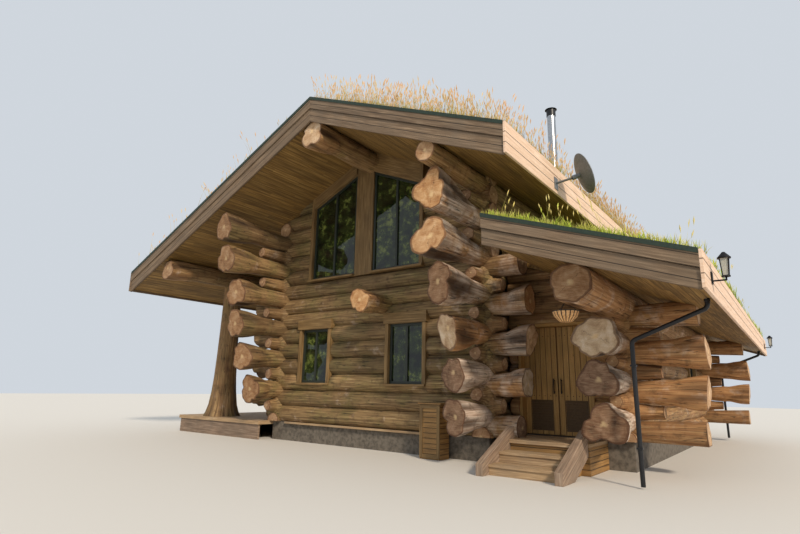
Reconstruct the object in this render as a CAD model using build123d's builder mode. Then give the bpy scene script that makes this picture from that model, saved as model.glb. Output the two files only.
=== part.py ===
from build123d import *
import os
from math import atan, cos, pi, sin

os.makedirs("parts", exist_ok=True)

# The frame: X is zero on the ridge line, Y is zero in the front wall's log centres,
# Z is zero at the ground at the foot of the porch steps. The front looks along -Y.

# Clearances
seat_gap = 0.4
door_gap = 6.0
door_meeting_gap = 14.0

# Main walls of round logs
wall_half_width = 3080.0
wall_length = 9400.0
log_radius = 215.0
log_pitch = 400.0
wall_base = 465.0
full_rows = 9
plate_row = 13

# Lean-to walls
lean_wall_x = 5550.0
lean_front_y = 750.0
lean_radius = 190.0
lean_pitch = 345.0
lean_base = 515.0
lean_plate_radius = 310.0
lean_plate_row = 7
lean_plate_ease = 8.0

# Main roof
ridge_top = 7790.0
roof_slope = 0.44
left_eave = 7360.0
right_eave = 4770.0
front_overhang = 2380.0
back_overhang = 2380.0
roof_depth = 520.0
turf_depth = 170.0
turf_below_edge = 20.0
barge_height = 600.0
barge_lap = 290.0
barge_thickness = 45.0
barge_step = 30.0
trim_height = 70.0
trim_thickness = 12.0
eave_board_height = 560.0
eave_board_thickness = 45.0

# Lean-to roof
lean_eave = 7360.0
lean_top_at_eave = 3130.0
lean_slope = 0.342
lean_roof_left = 4280.0
lean_roof_depth = 460.0
lean_barge_height = 530.0
lean_barge_lap = 255.0
lean_eave_board_height = 500.0
lean_notch = 400.0
lean_cross_rows = 10

# How far log ends reach past the corners, by row from the lowest
right_front_reach = (0, 1170, 400, 1240, 420, 1420, 450, 1780, 560, 2030, 650, 2000, 740, 2240)
left_front_reach = (0, 440, 1030, 480, 1350, 560, 1640, 700, 1700, 900, 2080, 1000, 2230, 230)
back_reach = {"butt": 1050.0, "top": 480.0, "plain": 2240.0}
cross_right_reach = (740, 380, 900, 420, 980, 450, 1000, 430, 860)
cross_left_reach = (400, 900, 440, 940, 430, 960, 450, 980, 430)
lean_side_reach = (0, 1500, 700, 1580, 760, 1640, 800, 2700)
lean_side_back_reach = {"butt": 1000.0, "top": 480.0, "plain": 2000.0}
lean_cross_reach = (1260, 620, 1330, 640, 1380, 660, 1300)

# Log ends
end_shoulder = 235.0
shoulder_step = 50.0
top_taper = 35.0
gable_stub_reach = 260.0
saddle_half = 450.0
wall_cut_half = 600.0
base_trim_half = 400.0

# Root flares: each lobe's offset aside, offset up and radius at the sawn face, by row
root_clear = 40.0
log_end_room = 600.0
root_start_share = 0.9
root_share_step = 0.03
root_shift = 0.05
right_front_roots = {
    1: ((-120, 110, 215), (0, 0, 230), (-20, -140, 210)),
    3: ((-130, -70, 215), (50, -60, 215), (-20, -160, 210)),
    5: ((-110, 20, 240), (-30, -180, 230), (40, -30, 200)),
    7: ((0, 120, 250), (0, -150, 250), (150, 150, 160)),
    9: ((20, 110, 280), (-200, -60, 265), (120, -50, 190)),
    11: ((30, 420, 160), (90, 150, 165), (-290, 130, 180), (-90, -60, 190), (-90, 200, 210)),
}
lean_front_roots = {
    1: ((20, 120, 210), (170, -80, 210), (-190, -90, 170), (0, 0, 200)),
    3: ((-30, 60, 250), (-150, -30, 205), (140, -50, 195)),
    5: ((-210, 30, 200), (40, 60, 290), (190, -90, 190), (-60, -110, 220)),
}
cross_right_roots = {
    0: ((0, 60, 260), (70, -20, 210)),
    2: ((0, 80, 250), (-60, 10, 220)),
    4: ((-30, 140, 220), (60, 60, 230)),
    6: ((20, 150, 220), (-60, 60, 230)),
    8: ((0, 30, 250), (60, -40, 220)),
}
side_root_spread = 130.0
side_root_radius = 240.0
cross_root_spread = 80.0
cross_root_radius = 215.0
lean_root_spread = 100.0
lean_root_radius = 210.0
ridge_roots = ((70, 40, 200), (-70, -60, 220), (130, -200, 170), (-170, -170, 160))
purlin_roots = ((-60, -110, 210), (90, -80, 190), (0, -20, 230))
joist_roots = ((-50, 30, 230), (60, -50, 220))
timber_root_length = 900.0
joist_root_length = 620.0

# Timbers under the roof
ridge_radius = 270.0
ridge_reach = 2260.0
purlin_x = 5650.0
purlin_radius = 240.0
purlin_reach = 2180.0
joist_x = 500.0
joist_radius = 225.0
joist_row = 7
joist_reach = 1000.0
joist_back_reach = 330.0
post_top_radius = 260.0
post_foot_radius = 520.0
post_flare_radius = 405.0
post_flare_height = 320.0
post_neck_radius = 325.0
post_neck_height = 1100.0
post_saddle_half = 900.0
post_head_room = 1000.0
post_count = 3

# Gable post and windows
gable_post_x = -160.0
gable_post_width = 560.0
gable_post_depth = 380.0
gable_sill = 4065.0
gable_left = -1930.0
gable_right = 1560.0
left_head_drop = 310.0
right_head_drop = 500.0
frame_width = 60.0
frame_depth = 90.0
frame_out = 150.0
glass_thickness = 20.0
casing_width = 95.0
casing_out = 235.0
casing_in = 205.0

# Small windows
small_width = 940.0
small_height = 1345.0
small_sill = 1450.0
small_front_x = (-1680.0, 1195.0)
lintel_height = 245.0
lintel_overhang = 130.0
sill_height = 45.0
sill_nose = 40.0
lintel_out = 265.0
side_window_y = (2300.0, 7100.0)
side_sill = 1300.0
lean_window_sill = 1280.0
lean_window_height = 1060.0
lean_lintel_height = 200.0

# Inner opening between the main room and the lean-to
inner_y0 = 3000.0
inner_y1 = 5000.0
inner_top = 2700.0

# Floors and plinths
plinth_thickness = 220.0
floor_thickness = 180.0
flashing_height = 45.0
flashing_out = 90.0
flashing_half = 2660.0
flashing_from_cabinet = 60.0

# Porch and steps
porch_front = 640.0
porch_top = 510.0
porch_deck = 60.0
porch_side = 350.0
porch_inset = 330.0
step_left = 3860.0
step_right = 5050.0
step_rise = 170.0
step_tread = 396.0
step_board = 45.0
step_nosing = 25.0
stringer_thickness = 130.0
stringer_front = 1650.0
stringer_toe = 190.0
stringer_back = 420.0
stringer_head = 730.0
stringer_height = 420.0
stringer_foot = 520.0

# Doors
door_left_x = 3580.0
door_right_x = 4960.0
door_head = 2640.0
door_thickness = 60.0
door_face_y = 800.0
jamb_width = 60.0
jamb_depth = 260.0
hinge_radius = 9.0
hinge_height = 110.0
hinge_levels = (250.0, 1000.0, 1750.0)
hinge_out = 10.0
hinge_plate = 70.0
hinge_leaf = 6.0
hinge_fixed_less = 20.0
hinge_bridge_step = 2.0
hinge_bridge_proud = 1.0
louvre_inset_hinge = 120.0
louvre_inset_middle = 130.0
louvre_low = 600.0
louvre_top = 1190.0
louvre_depth = 30.0
louvre_slats = 12
louvre_slat_share = 0.8
louvre_slat_set_back = 2.0
louvre_slat_sink = 1.0
louvre_cut_clear = 10.0
handle_from_middle = 75.0
handle_stand_off = 50.0
handle_level = 780.0
handle_length = 300.0
handle_radius = 10.0
handle_stem_radius = 8.0
handle_stem_inset = 40.0

# Veranda
deck_top = 465.0
deck_thickness = 90.0
deck_out = 6900.0
deck_end = 600.0
skirt_inset = 40.0
skirt_thickness = 60.0

# Flue
flue_x = 3400.0
flue_y = 3600.0
flue_top = 9200.0
flue_radius = 115.0
flue_sleeve = 25.0
flue_hole_below = 200.0
flue_hole_above = 600.0
sleeve_height = 330.0
sleeve_taper = 90.0
flue_trim_half = 400.0
flue_trim_depth = 1000.0
cap_height = 260.0
cap_brim_drop = 60.0
cap_step = 12.0
cap_brim = 50.0
cap_peak_share = 0.5

# Satellite dish
dish_out = 480.0
dish_y = -150.0
dish_z = 5400.0
dish_radius = 400.0
dish_depth = 90.0
dish_thickness = 12.0
dish_facing = (0.75, 0.45, 0.35)
dish_waist_share = 0.6
dish_waist_depth_share = 0.36
dish_rim_slope = 0.45
dish_neck_length = 160.0
dish_neck_radius = 45.0
dish_bar_radius = 22.0
dish_bar_drop = 60.0
dish_bar_from_wall = 12.0
dish_plate_thickness = 14.0
dish_plate_half = 90.0
dish_plate_below = 190.0
dish_plate_above = 50.0

# Meter cabinet
cabinet_x0 = 1860.0
cabinet_width = 480.0
cabinet_depth = 340.0
cabinet_height = 1050.0
lid_overhang = 35.0
lid_thickness = 35.0

# Downpipes
pipe_radius = 34.0
pipe_front_y = -1000.0
pipe_eave_x = 7200.0
pipe_wall_x = 6130.0
pipe_knee = 2140.0
pipe_foot = 30.0
pipe_socket_share = 1.25
pipe_socket_length = 40.0
pipe_drop = 130.0
pipe_bend_radius = 90.0

# Lanterns on the lean-to's eave boards
lantern_front_y = -1760.0
lantern_back_y = 10560.0
lantern_level = 2860.0
lantern_out = 170.0
lantern_half = 70.0
lantern_height = 230.0
lantern_plate = 20.0
lantern_plate_half = 45.0
lantern_plate_rise = 80.0
lantern_arm_drop = 40.0
lantern_arm_radius = 11.0
lantern_arm_lap = 5.0
lantern_arm_seat = 8.0
lantern_disc = 16.0
lantern_base_share = 0.75
lantern_lid_share = 1.15
lantern_roof_share = 1.1
lantern_tip_share = 0.25
lantern_roof_height = 70.0
lantern_bar_radius = 6.0
lantern_bar_low_share = 0.5
lantern_bar_high_share = 0.72
lantern_glass_low_share = 0.8
lantern_glass_high_share = 1.25

# Hanging baskets
basket_x = 5300.0
basket_y = -1500.0
basket_rim = 2600.0
basket_radius = 210.0
basket_wall = 14.0
basket_drop = 170.0
basket_foot_share = 0.45
basket_belly_share = 0.85
basket_belly_drop_share = 0.5
basket_wires = 3
basket_first_wire = 30.0
basket_wire_radius = 4.0
basket_wire_sink = 6.0
hook_radius = 10.0
hook_drop = 16.0
hook_lap = 10.0


def roof_top(x):
    return ridge_top - roof_slope * abs(x)


def soffit(x):
    return roof_top(x) - roof_depth


def lean_top(x):
    return lean_top_at_eave + lean_slope * (lean_eave - x)


def lean_soffit(x):
    return lean_top(x) - lean_roof_depth


groove_reach = end_shoulder + seat_gap
roof_cos = cos(atan(roof_slope))
lean_cos = cos(atan(lean_slope))
roof_y0 = -front_overhang
roof_y1 = wall_length + back_overhang
plate_level = soffit(wall_half_width) - (log_radius + seat_gap) / roof_cos
lean_plate_level = lean_soffit(lean_wall_x) - (lean_plate_radius + seat_gap) / lean_cos
ridge_level = soffit(0) - (ridge_radius + seat_gap) / roof_cos
purlin_level = soffit(purlin_x) - (purlin_radius + seat_gap) / roof_cos


def cross_level(row):
    return wall_base + log_pitch * (row + 0.5)


def side_level(row):
    return wall_base + log_pitch * row


def lean_cross_level(row):
    return lean_base + lean_pitch * (row + 0.5)


def lean_side_level(row):
    return lean_base + lean_pitch * row


# The outline of one log end: a top is dressed smaller, a butt gets its root flare later
def end_outline(corner, reach, outward, kind, radius):
    tip = corner + outward * reach
    if kind != "top":
        return [(tip, radius)]
    shoulder = corner + outward * end_shoulder
    dressed = radius - shoulder_step
    return [(shoulder, radius), (shoulder, dressed), (tip, dressed - top_taper)]


def end_plane(run, along, across, level):
    if run == "x":
        return Plane(origin=(along, across, level), z_dir=(1, 0, 0))
    return Plane(origin=(across, along, level), z_dir=(0, 1, 0))


# Three lobes set evenly round the log
def round_roots(turn, spread, radius):
    lobes = []
    for corner in (0, 2 * pi / 3, 4 * pi / 3):
        lobes.append((spread * cos(turn + corner), spread * sin(turn + corner), radius))
    return lobes


# One round log: turned about its axis, flared at its root end, then scribed over the logs below it
def make_log(run, across, level, outline, radius, below=None, crossings=(), trims=(), flares=()):
    start = outline[0][0]
    end = outline[-1][0]
    if run == "x":
        profile_plane = Plane(origin=(0, across, level), x_dir=(1, 0, 0), z_dir=(0, -1, 0))
        turning = Axis((0, across, level), (1, 0, 0))
    else:
        profile_plane = Plane(origin=(across, 0, level), x_dir=(0, 1, 0), z_dir=(1, 0, 0))
        turning = Axis((across, 0, level), (0, 1, 0))
    with BuildPart() as log:
        with BuildSketch(profile_plane):
            with BuildLine():
                Polyline([(start, 0)] + outline + [(end, 0)], close=True)
            make_face()
        revolve(axis=turning)
        for flare_from, flare_tip, lobes in flares:
            for count, (aside, up, lobe_radius) in enumerate(lobes):
                start_across = across + root_shift * aside
                start_level = level + root_shift * up
                with BuildSketch(end_plane(run, flare_from, start_across, start_level)):
                    Circle(radius * (root_start_share - root_share_step * count))
                with BuildSketch(end_plane(run, flare_tip, across + aside, level + up)):
                    Circle(lobe_radius)
                loft()
        if below:
            drop, lower_radius, groove_start, groove_end = below
            if run == "x":
                groove_plane = Plane(origin=(groove_start, across, level - drop), z_dir=(1, 0, 0))
            else:
                groove_plane = Plane(origin=(across, groove_start, level - drop), z_dir=(0, 1, 0))
            with BuildSketch(groove_plane):
                Circle(lower_radius + seat_gap)
            extrude(amount=groove_end - groove_start, mode=Mode.SUBTRACT)
        for place, lower_level, lower_radius in crossings:
            if run == "x":
                saddle_plane = Plane(origin=(place, across - saddle_half, lower_level), z_dir=(0, 1, 0))
            else:
                saddle_plane = Plane(origin=(across - saddle_half, place, lower_level), z_dir=(1, 0, 0))
            with BuildSketch(saddle_plane):
                Circle(lower_radius + seat_gap)
            extrude(amount=2 * saddle_half, mode=Mode.SUBTRACT)
        for x0, x1, y0, y1, z0, z1 in trims:
            if z0 > level + radius or z1 < level - radius:
                continue
            with Locations(((x0 + x1) / 2, (y0 + y1) / 2, (z0 + z1) / 2)):
                Box(x1 - x0, y1 - y0, z1 - z0, mode=Mode.SUBTRACT)
    return log.part


far = 20000.0


# A long prism over the main roof's underside, which trims whatever stands too high
def above_soffit(x_from, x_to, low_height, gap):
    with BuildPart() as cutter:
        with BuildSketch(Plane.XZ.offset(-far)):
            with BuildLine():
                Polyline(
                    [(x_from, low_height(x_from) - gap), (x_to, low_height(x_to) - gap),
                     (x_to, far), (x_from, far)],
                    close=True,
                )
            make_face()
        extrude(amount=2 * far)
    return cutter.part


main_cutter_left = above_soffit(-left_eave, 0, soffit, seat_gap)
main_cutter_right = above_soffit(0, right_eave, soffit, seat_gap)
lean_cutter = above_soffit(wall_half_width, lean_eave, lean_soffit, seat_gap)


def under_roof(log, level, low_height, cutters):
    if level + log_end_room > low_height:
        for cutter in cutters:
            log = log - cutter
    return log


def slab(x0, x1, y0, y1, z0, z1):
    with BuildPart() as block:
        with Locations(((x0 + x1) / 2, (y0 + y1) / 2, (z0 + z1) / 2)):
            Box(x1 - x0, y1 - y0, z1 - z0)
    return block.part


# An upright plate drawn in X and Z, and thickened from y0 to y1
def front_plate(points, y0, y1, holes=()):
    with BuildPart() as plate:
        with BuildSketch(Plane(origin=(0, y0, 0), x_dir=(1, 0, 0), z_dir=(0, -1, 0))):
            with BuildLine():
                Polyline(points, close=True)
            make_face()
            for hole in holes:
                with BuildLine():
                    Polyline(hole, close=True)
                make_face(mode=Mode.SUBTRACT)
        extrude(amount=-(y1 - y0))
    return plate.part


# A plate drawn in Y and Z, and thickened from x0 to x1
def side_plate(points, x0, x1, holes=()):
    with BuildPart() as plate:
        with BuildSketch(Plane(origin=(x0, 0, 0), x_dir=(0, 1, 0), z_dir=(1, 0, 0))):
            with BuildLine():
                Polyline(points, close=True)
            make_face()
            for hole in holes:
                with BuildLine():
                    Polyline(hole, close=True)
                make_face(mode=Mode.SUBTRACT)
        extrude(amount=x1 - x0)
    return plate.part


def rod(start, end, radius):
    direction = Vector(*end) - Vector(*start)
    with BuildPart() as bar:
        with BuildSketch(Plane(origin=start, z_dir=direction)):
            Circle(radius)
        extrude(amount=direction.length)
    return bar.part


def save(name, solids):
    with BuildPart() as node:
        add(solids)
    node.part.label = name
    export_step(node.part, f"parts/{name}.step")


# A box cut through a wall for a window or door, wider than the hole by the casings
def wall_cut(run, wall_at, centre, half, z0, z1):
    if run == "x":
        return (centre - half, centre + half, wall_at - wall_cut_half, wall_at + wall_cut_half, z0, z1)
    return (wall_at - wall_cut_half, wall_at + wall_cut_half, centre - half, centre + half, z0, z1)


def window_trims(run, wall_at, centres, width, height, sill, lintel):
    trims = []
    for centre in centres:
        half = width / 2 + casing_width + seat_gap
        wide = width / 2 + lintel_overhang + seat_gap
        head = sill + height
        trims.append(wall_cut(run, wall_at, centre, half, sill - sill_height - seat_gap, head + seat_gap))
        trims.append(wall_cut(run, wall_at, centre, wide, head, head + lintel + 2 * seat_gap))
    return trims


# A plate in a wall's own terms: u along the wall, out measured outwards from its log centres
def wall_plate(run, wall_at, side, points, out0, out1, holes=()):
    near = wall_at + side * out0
    away = wall_at + side * out1
    low = min(near, away)
    high = max(near, away)
    if run == "x":
        return front_plate(points, low, high, holes)
    return side_plate(points, low, high, holes)


def rectangle(u0, u1, z0, z1):
    return [(u0, z0), (u1, z0), (u1, z1), (u0, z1)]


window_frames = []
window_panes = []
window_casings = []


# One casement window: a frame with a middle bar, two panes, and timber round it
def make_window(run, wall_at, side, centre, width, height, sill, lintel):
    u0 = centre - width / 2
    u1 = centre + width / 2
    z0 = sill + seat_gap
    z1 = sill + height
    panes = []
    for pane_u0, pane_u1 in ((u0 + frame_width, centre - frame_width / 2),
                             (centre + frame_width / 2, u1 - frame_width)):
        panes.append((pane_u0, pane_u1, z0 + frame_width, z1 - frame_width))
    holes = [rectangle(*pane) for pane in panes]
    outline = rectangle(u0, u1, z0, z1)
    window_frames.append(wall_plate(run, wall_at, side, outline, frame_out - frame_depth, frame_out, holes))
    middle = frame_out - frame_depth / 2
    for a, b, c, d in panes:
        glass = rectangle(a + seat_gap, b - seat_gap, c + seat_gap, d - seat_gap)
        window_panes.append(wall_plate(run, wall_at, side, glass,
                                       middle - glass_thickness / 2, middle + glass_thickness / 2))
    left_jamb = rectangle(u0 - casing_width, u0 - seat_gap, z0, z1)
    right_jamb = rectangle(u1 + seat_gap, u1 + casing_width, z0, z1)
    sill_board = rectangle(u0 - casing_width, u1 + casing_width, sill - sill_height, sill)
    head_board = rectangle(u0 - lintel_overhang, u1 + lintel_overhang, z1 + seat_gap, z1 + lintel + seat_gap)
    window_casings.append(wall_plate(run, wall_at, side, left_jamb, -casing_in, casing_out))
    window_casings.append(wall_plate(run, wall_at, side, right_jamb, -casing_in, casing_out))
    window_casings.append(wall_plate(run, wall_at, side, sill_board, -casing_in, casing_out + sill_nose))
    window_casings.append(wall_plate(run, wall_at, side, head_board, -casing_in, lintel_out))


def row_kind(row, parity):
    return "butt" if row % 2 == parity else "top"


def double_end(corner0, reach0, kind0, corner1, reach1, kind1, radius):
    first = end_outline(corner0, reach0, -1, kind0, radius)
    last = end_outline(corner1, reach1, 1, kind1, radius)
    first.reverse()
    return first + last


# Where a flare may start: past the ends of the logs above and below
def flare_start(reaches, row):
    return max(reaches[row - 1] if row else 0, reaches[row + 1]) + root_clear


# Side walls of the main block, with logs that run front to back
def side_wall(x, reaches, butt_parity, trims, cutter, front_roots):
    logs = []
    for row in range(plate_row + 1):
        level = side_level(row)
        if row == 0:
            outline = [(-end_shoulder, log_radius), (wall_length + end_shoulder, log_radius)]
            base_trim = (x - base_trim_half, x + base_trim_half, -far, far, level - base_trim_half, level)
            logs += make_log("y", x, level, outline, log_radius, trims=[base_trim] + trims).solids()
            continue
        front_kind = row_kind(row, butt_parity)
        back_kind = row_kind(row + 1, butt_parity)
        if row == plate_row - 1:
            back_kind = "top"
        if row == plate_row:
            level = plate_level
            front_kind = "plain"
            back_kind = "plain"
        outline = double_end(0, reaches[row], front_kind, wall_length, back_reach[back_kind], back_kind,
                             log_radius)
        round_lobes = round_roots(row, side_root_spread, side_root_radius)
        flares = []
        if front_kind == "butt":
            flares.append((-flare_start(reaches, row), -reaches[row], front_roots.get(row, round_lobes)))
        if back_kind == "butt":
            flares.append((wall_length + back_reach["top"] + root_clear, wall_length + back_reach["butt"],
                           round_lobes))
        groove = (level - side_level(row - 1), log_radius, -groove_reach, wall_length + groove_reach)
        saddles = [(0, cross_level(row - 1), log_radius), (wall_length, cross_level(row - 1), log_radius)]
        log = make_log("y", x, level, outline, log_radius, groove, saddles, trims, flares)
        logs += under_roof(log, level, soffit(wall_half_width + log_radius), [cutter]).solids()
    return logs


# Gable walls of the main block, with logs that run left to right
def gable_wall(y, trims, left_reaches, right_reaches, right_parity):
    logs = []
    stubbed = max(right_reaches) <= gable_stub_reach
    opening = (gable_left - casing_width - seat_gap, gable_right + casing_width + seat_gap,
               y - wall_cut_half, y + wall_cut_half, gable_sill, far)
    for row in range(plate_row + 2):
        level = cross_level(row)
        flares = []
        if row < full_rows:
            right_kind = "plain" if stubbed else row_kind(row, right_parity)
            left_kind = row_kind(row + 1, right_parity)
            outline = double_end(-wall_half_width, left_reaches[row], left_kind,
                                 wall_half_width, right_reaches[row], right_kind, log_radius)
            round_lobes = round_roots(row, cross_root_spread, cross_root_radius)
            if left_kind == "butt":
                flares.append((-wall_half_width - flare_start(left_reaches, row),
                               -wall_half_width - left_reaches[row], round_lobes))
            if right_kind == "butt":
                lobes = cross_right_roots[row]
                next_reach = right_reaches[row + 1] if row + 1 < full_rows else gable_stub_reach
                last_reach = right_reaches[row - 1] if row else 0
                flares.append((wall_half_width + max(next_reach, last_reach) + root_clear,
                               wall_half_width + right_reaches[row], lobes))
        else:
            outline = double_end(-wall_half_width, gable_stub_reach, "plain",
                                 wall_half_width, gable_stub_reach, "plain", log_radius)
        plain_along = wall_half_width + gable_stub_reach + seat_gap
        left_along = plain_along if row > full_rows else wall_half_width + groove_reach
        right_along = plain_along if row > full_rows or stubbed else wall_half_width + groove_reach
        groove = (log_pitch, log_radius, -left_along, right_along) if row else None
        lower = plate_level if row == plate_row else side_level(row)
        saddles = [(-wall_half_width, lower, log_radius), (wall_half_width, lower, log_radius)]
        if row > plate_row:
            saddles = []
        if row == joist_row:
            saddles.append((joist_x, side_level(joist_row), joist_radius))
        row_trims = list(trims)
        if row == 0:
            row_trims.append((-far, far, y - base_trim_half, y + base_trim_half, 0, wall_base))
        if row >= full_rows - 1:
            row_trims.append(opening)
        log = make_log("x", y, level, outline, log_radius, groove, saddles, row_trims, flares)
        both_slopes = [main_cutter_left, main_cutter_right]
        logs += under_roof(log, level, soffit(wall_half_width + end_shoulder), both_slopes).solids()
    return logs


# The lean-to's outer side wall
def lean_side_wall(trims):
    logs = []
    y0 = lean_front_y
    y1 = wall_length
    for row in range(lean_plate_row + 1):
        level = lean_side_level(row)
        radius = lean_radius
        if row == 0:
            outline = [(y0 - end_shoulder, radius), (y1 + end_shoulder, radius)]
            base_trim = (lean_wall_x - base_trim_half, lean_wall_x + base_trim_half, -far, far,
                         level - base_trim_half, level)
            logs += make_log("y", lean_wall_x, level, outline, radius, trims=[base_trim] + trims).solids()
            continue
        front_kind = row_kind(row, 1)
        back_kind = row_kind(row + 1, 1)
        if row == lean_plate_row:
            level = lean_plate_level
            radius = lean_plate_radius
            front_kind = "plain"
            back_kind = "plain"
        outline = double_end(y0, lean_side_reach[row], front_kind, y1, lean_side_back_reach[back_kind],
                             back_kind, radius)
        flares = []
        if front_kind == "butt":
            next_reach = lean_side_reach[row + 1] if row + 1 < lean_plate_row else 0
            past = max(next_reach, lean_side_reach[row - 1]) + root_clear
            flares.append((y0 - past, y0 - lean_side_reach[row], lean_front_roots[row]))
        if back_kind == "butt":
            flares.append((y1 + lean_side_back_reach["top"] + root_clear, y1 + lean_side_back_reach["butt"],
                           round_roots(row, lean_root_spread, lean_root_radius)))
        groove = (level - lean_side_level(row - 1), lean_radius, y0 - groove_reach, y1 + groove_reach)
        if row == lean_plate_row:
            groove = (level - lean_side_level(row - 1), lean_radius, y0 - far, y1 + far)
        ease = lean_plate_ease if row == lean_plate_row else 0
        saddles = [(place, lean_cross_level(row - 1), lean_radius + ease) for place in (y0, y1)]
        log = make_log("y", lean_wall_x, level, outline, radius, groove, saddles, trims, flares)
        logs += under_roof(log, level, lean_soffit(lean_wall_x + lean_radius), [lean_cutter]).solids()
    return logs


# The lean-to's front and back walls, which butt against the main wall
def lean_cross_wall(y, start, trims):
    logs = []
    for row in range(lean_cross_rows):
        level = lean_cross_level(row)
        flares = []
        if row < lean_plate_row:
            end = end_outline(lean_wall_x, lean_cross_reach[row], 1, row_kind(row, 0), lean_radius)
            if row_kind(row, 0) == "butt":
                next_reach = lean_cross_reach[row + 1] if row + 1 < lean_plate_row else 0
                past = max(next_reach, lean_cross_reach[row - 1] if row else 0) + root_clear
                flares.append((lean_wall_x + past, lean_wall_x + lean_cross_reach[row],
                               round_roots(row, cross_root_spread, cross_root_radius)))
        else:
            end = [(lean_wall_x, lean_radius)]
        outline = [(start, lean_radius)] + end
        groove = (lean_pitch, lean_radius, start - groove_reach, lean_wall_x + groove_reach) if row else None
        if row < lean_plate_row:
            saddles = [(lean_wall_x, lean_side_level(row), lean_radius)]
        else:
            saddles = [(lean_wall_x, lean_plate_level, lean_plate_radius)]
        row_trims = list(trims)
        if row == 0:
            row_trims.append((0, far, y - base_trim_half, y + base_trim_half, 0, lean_base))
        log = make_log("x", y, level, outline, lean_radius, groove, saddles, row_trims, flares)
        logs += under_roof(log, level, lean_soffit(lean_eave), [lean_cutter]).solids()
    return logs


# Log walls
small_front_trims = window_trims("x", 0, small_front_x, small_width, small_height, small_sill, lintel_height)
small_back_trims = window_trims("x", wall_length, small_front_x, small_width, small_height, small_sill,
                                lintel_height)
small_left_trims = window_trims("y", -wall_half_width, side_window_y, small_width, small_height, side_sill,
                                lintel_height)
lean_trims = window_trims("y", lean_wall_x, side_window_y, small_width, lean_window_height,
                          lean_window_sill, lean_lintel_height)
inner_trim = (wall_half_width - wall_cut_half, wall_half_width + wall_cut_half, inner_y0, inner_y1,
              0, inner_top)
door_trim = (door_left_x - jamb_width - seat_gap, door_right_x + jamb_width + seat_gap,
             lean_front_y - wall_cut_half, lean_front_y + wall_cut_half, 0, door_head + jamb_width + seat_gap)
lean_start = wall_half_width + gable_stub_reach + seat_gap
stub_reaches = tuple(gable_stub_reach for reach in cross_right_reach)

save("left_wall_logs", side_wall(-wall_half_width, left_front_reach, 0, small_left_trims, main_cutter_left,
                                 {}))
save("right_wall_logs", side_wall(wall_half_width, right_front_reach, 1, [inner_trim], main_cutter_right,
                                  right_front_roots))
save("front_wall_logs", gable_wall(0, small_front_trims, cross_left_reach, cross_right_reach, 0))
save("back_wall_logs", gable_wall(wall_length, small_back_trims, cross_left_reach, stub_reaches, 0))
save("leanto_side_logs", lean_side_wall(lean_trims))
lean_front = lean_cross_wall(lean_front_y, lean_start, [door_trim])
lintel_level = door_head + jamb_width
beside_door = [log for log in lean_front if log.bounding_box().max.Z < lintel_level]
over_door = [log for log in lean_front if log.bounding_box().max.Z >= lintel_level]
over_door.sort(key=lambda log: log.bounding_box().min.Z)
save("leanto_front_logs", beside_door)
save("door_lintel_log", over_door[:1])
save("leanto_over_door_logs", over_door[1:])
save("leanto_back_logs", lean_cross_wall(wall_length, lean_start, []))

# Round timbers that carry the roof
def make_timber(x, level, radius, y0, y1, lobes, root_length, saddles=()):
    flares = [(y0 + root_length, y0, lobes)]
    return make_log("y", x, level, [(y0, radius), (y1, radius)], radius, None, saddles, (), flares)


ridge_y1 = wall_length + ridge_reach
save("ridge_log", make_timber(0, ridge_level, ridge_radius, -ridge_reach, ridge_y1, ridge_roots,
                              timber_root_length) - main_cutter_left - main_cutter_right)
purlin = make_timber(-purlin_x, purlin_level, purlin_radius, -purlin_reach, wall_length + purlin_reach,
                     purlin_roots, timber_root_length)
save("veranda_purlin", purlin - main_cutter_left)
joist_saddles = [(y, cross_level(joist_row - 1), log_radius) for y in (0, wall_length)]
save("joist_log", make_timber(joist_x, side_level(joist_row), joist_radius, -joist_reach,
                              wall_length + joist_back_reach, joist_roots, joist_root_length, joist_saddles))

posts = []
for place in range(post_count):
    post_y = wall_length * place / (post_count - 1)
    with BuildPart() as post:
        with BuildSketch(Plane(origin=(-purlin_x, post_y, 0), x_dir=(1, 0, 0), z_dir=(0, -1, 0))):
            with BuildLine():
                Polyline(
                    [(0, deck_top + seat_gap), (post_foot_radius, deck_top + seat_gap),
                     (post_flare_radius, deck_top + post_flare_height),
                     (post_neck_radius, deck_top + post_neck_height),
                     (post_top_radius, purlin_level), (0, purlin_level)],
                    close=True,
                )
            make_face()
        revolve(axis=Axis((-purlin_x, post_y, 0), (0, 0, 1)))
        with BuildSketch(Plane(origin=(-purlin_x, post_y - post_saddle_half, purlin_level), z_dir=(0, 1, 0))):
            Circle(purlin_radius + seat_gap)
        extrude(amount=2 * post_saddle_half, mode=Mode.SUBTRACT)
        with Locations((-purlin_x, post_y, purlin_level + (post_head_room - purlin_radius) / 2)):
            Box(2 * post_saddle_half, 2 * post_saddle_half, post_head_room, mode=Mode.SUBTRACT)
    posts.append(post.part)
save("veranda_posts", posts)

# Roof decks, turf and edge boards of the main roof
deck_y0 = roof_y0 + barge_thickness + barge_step + seat_gap
deck_y1 = roof_y1 - barge_thickness - barge_step - seat_gap


def slope_band(x0, x1, top_height, upper, lower, y0, y1):
    points = [(x0, top_height(x0) - lower), (x1, top_height(x1) - lower),
              (x1, top_height(x1) - upper), (x0, top_height(x0) - upper)]
    return front_plate(points, y0, y1)


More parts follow.
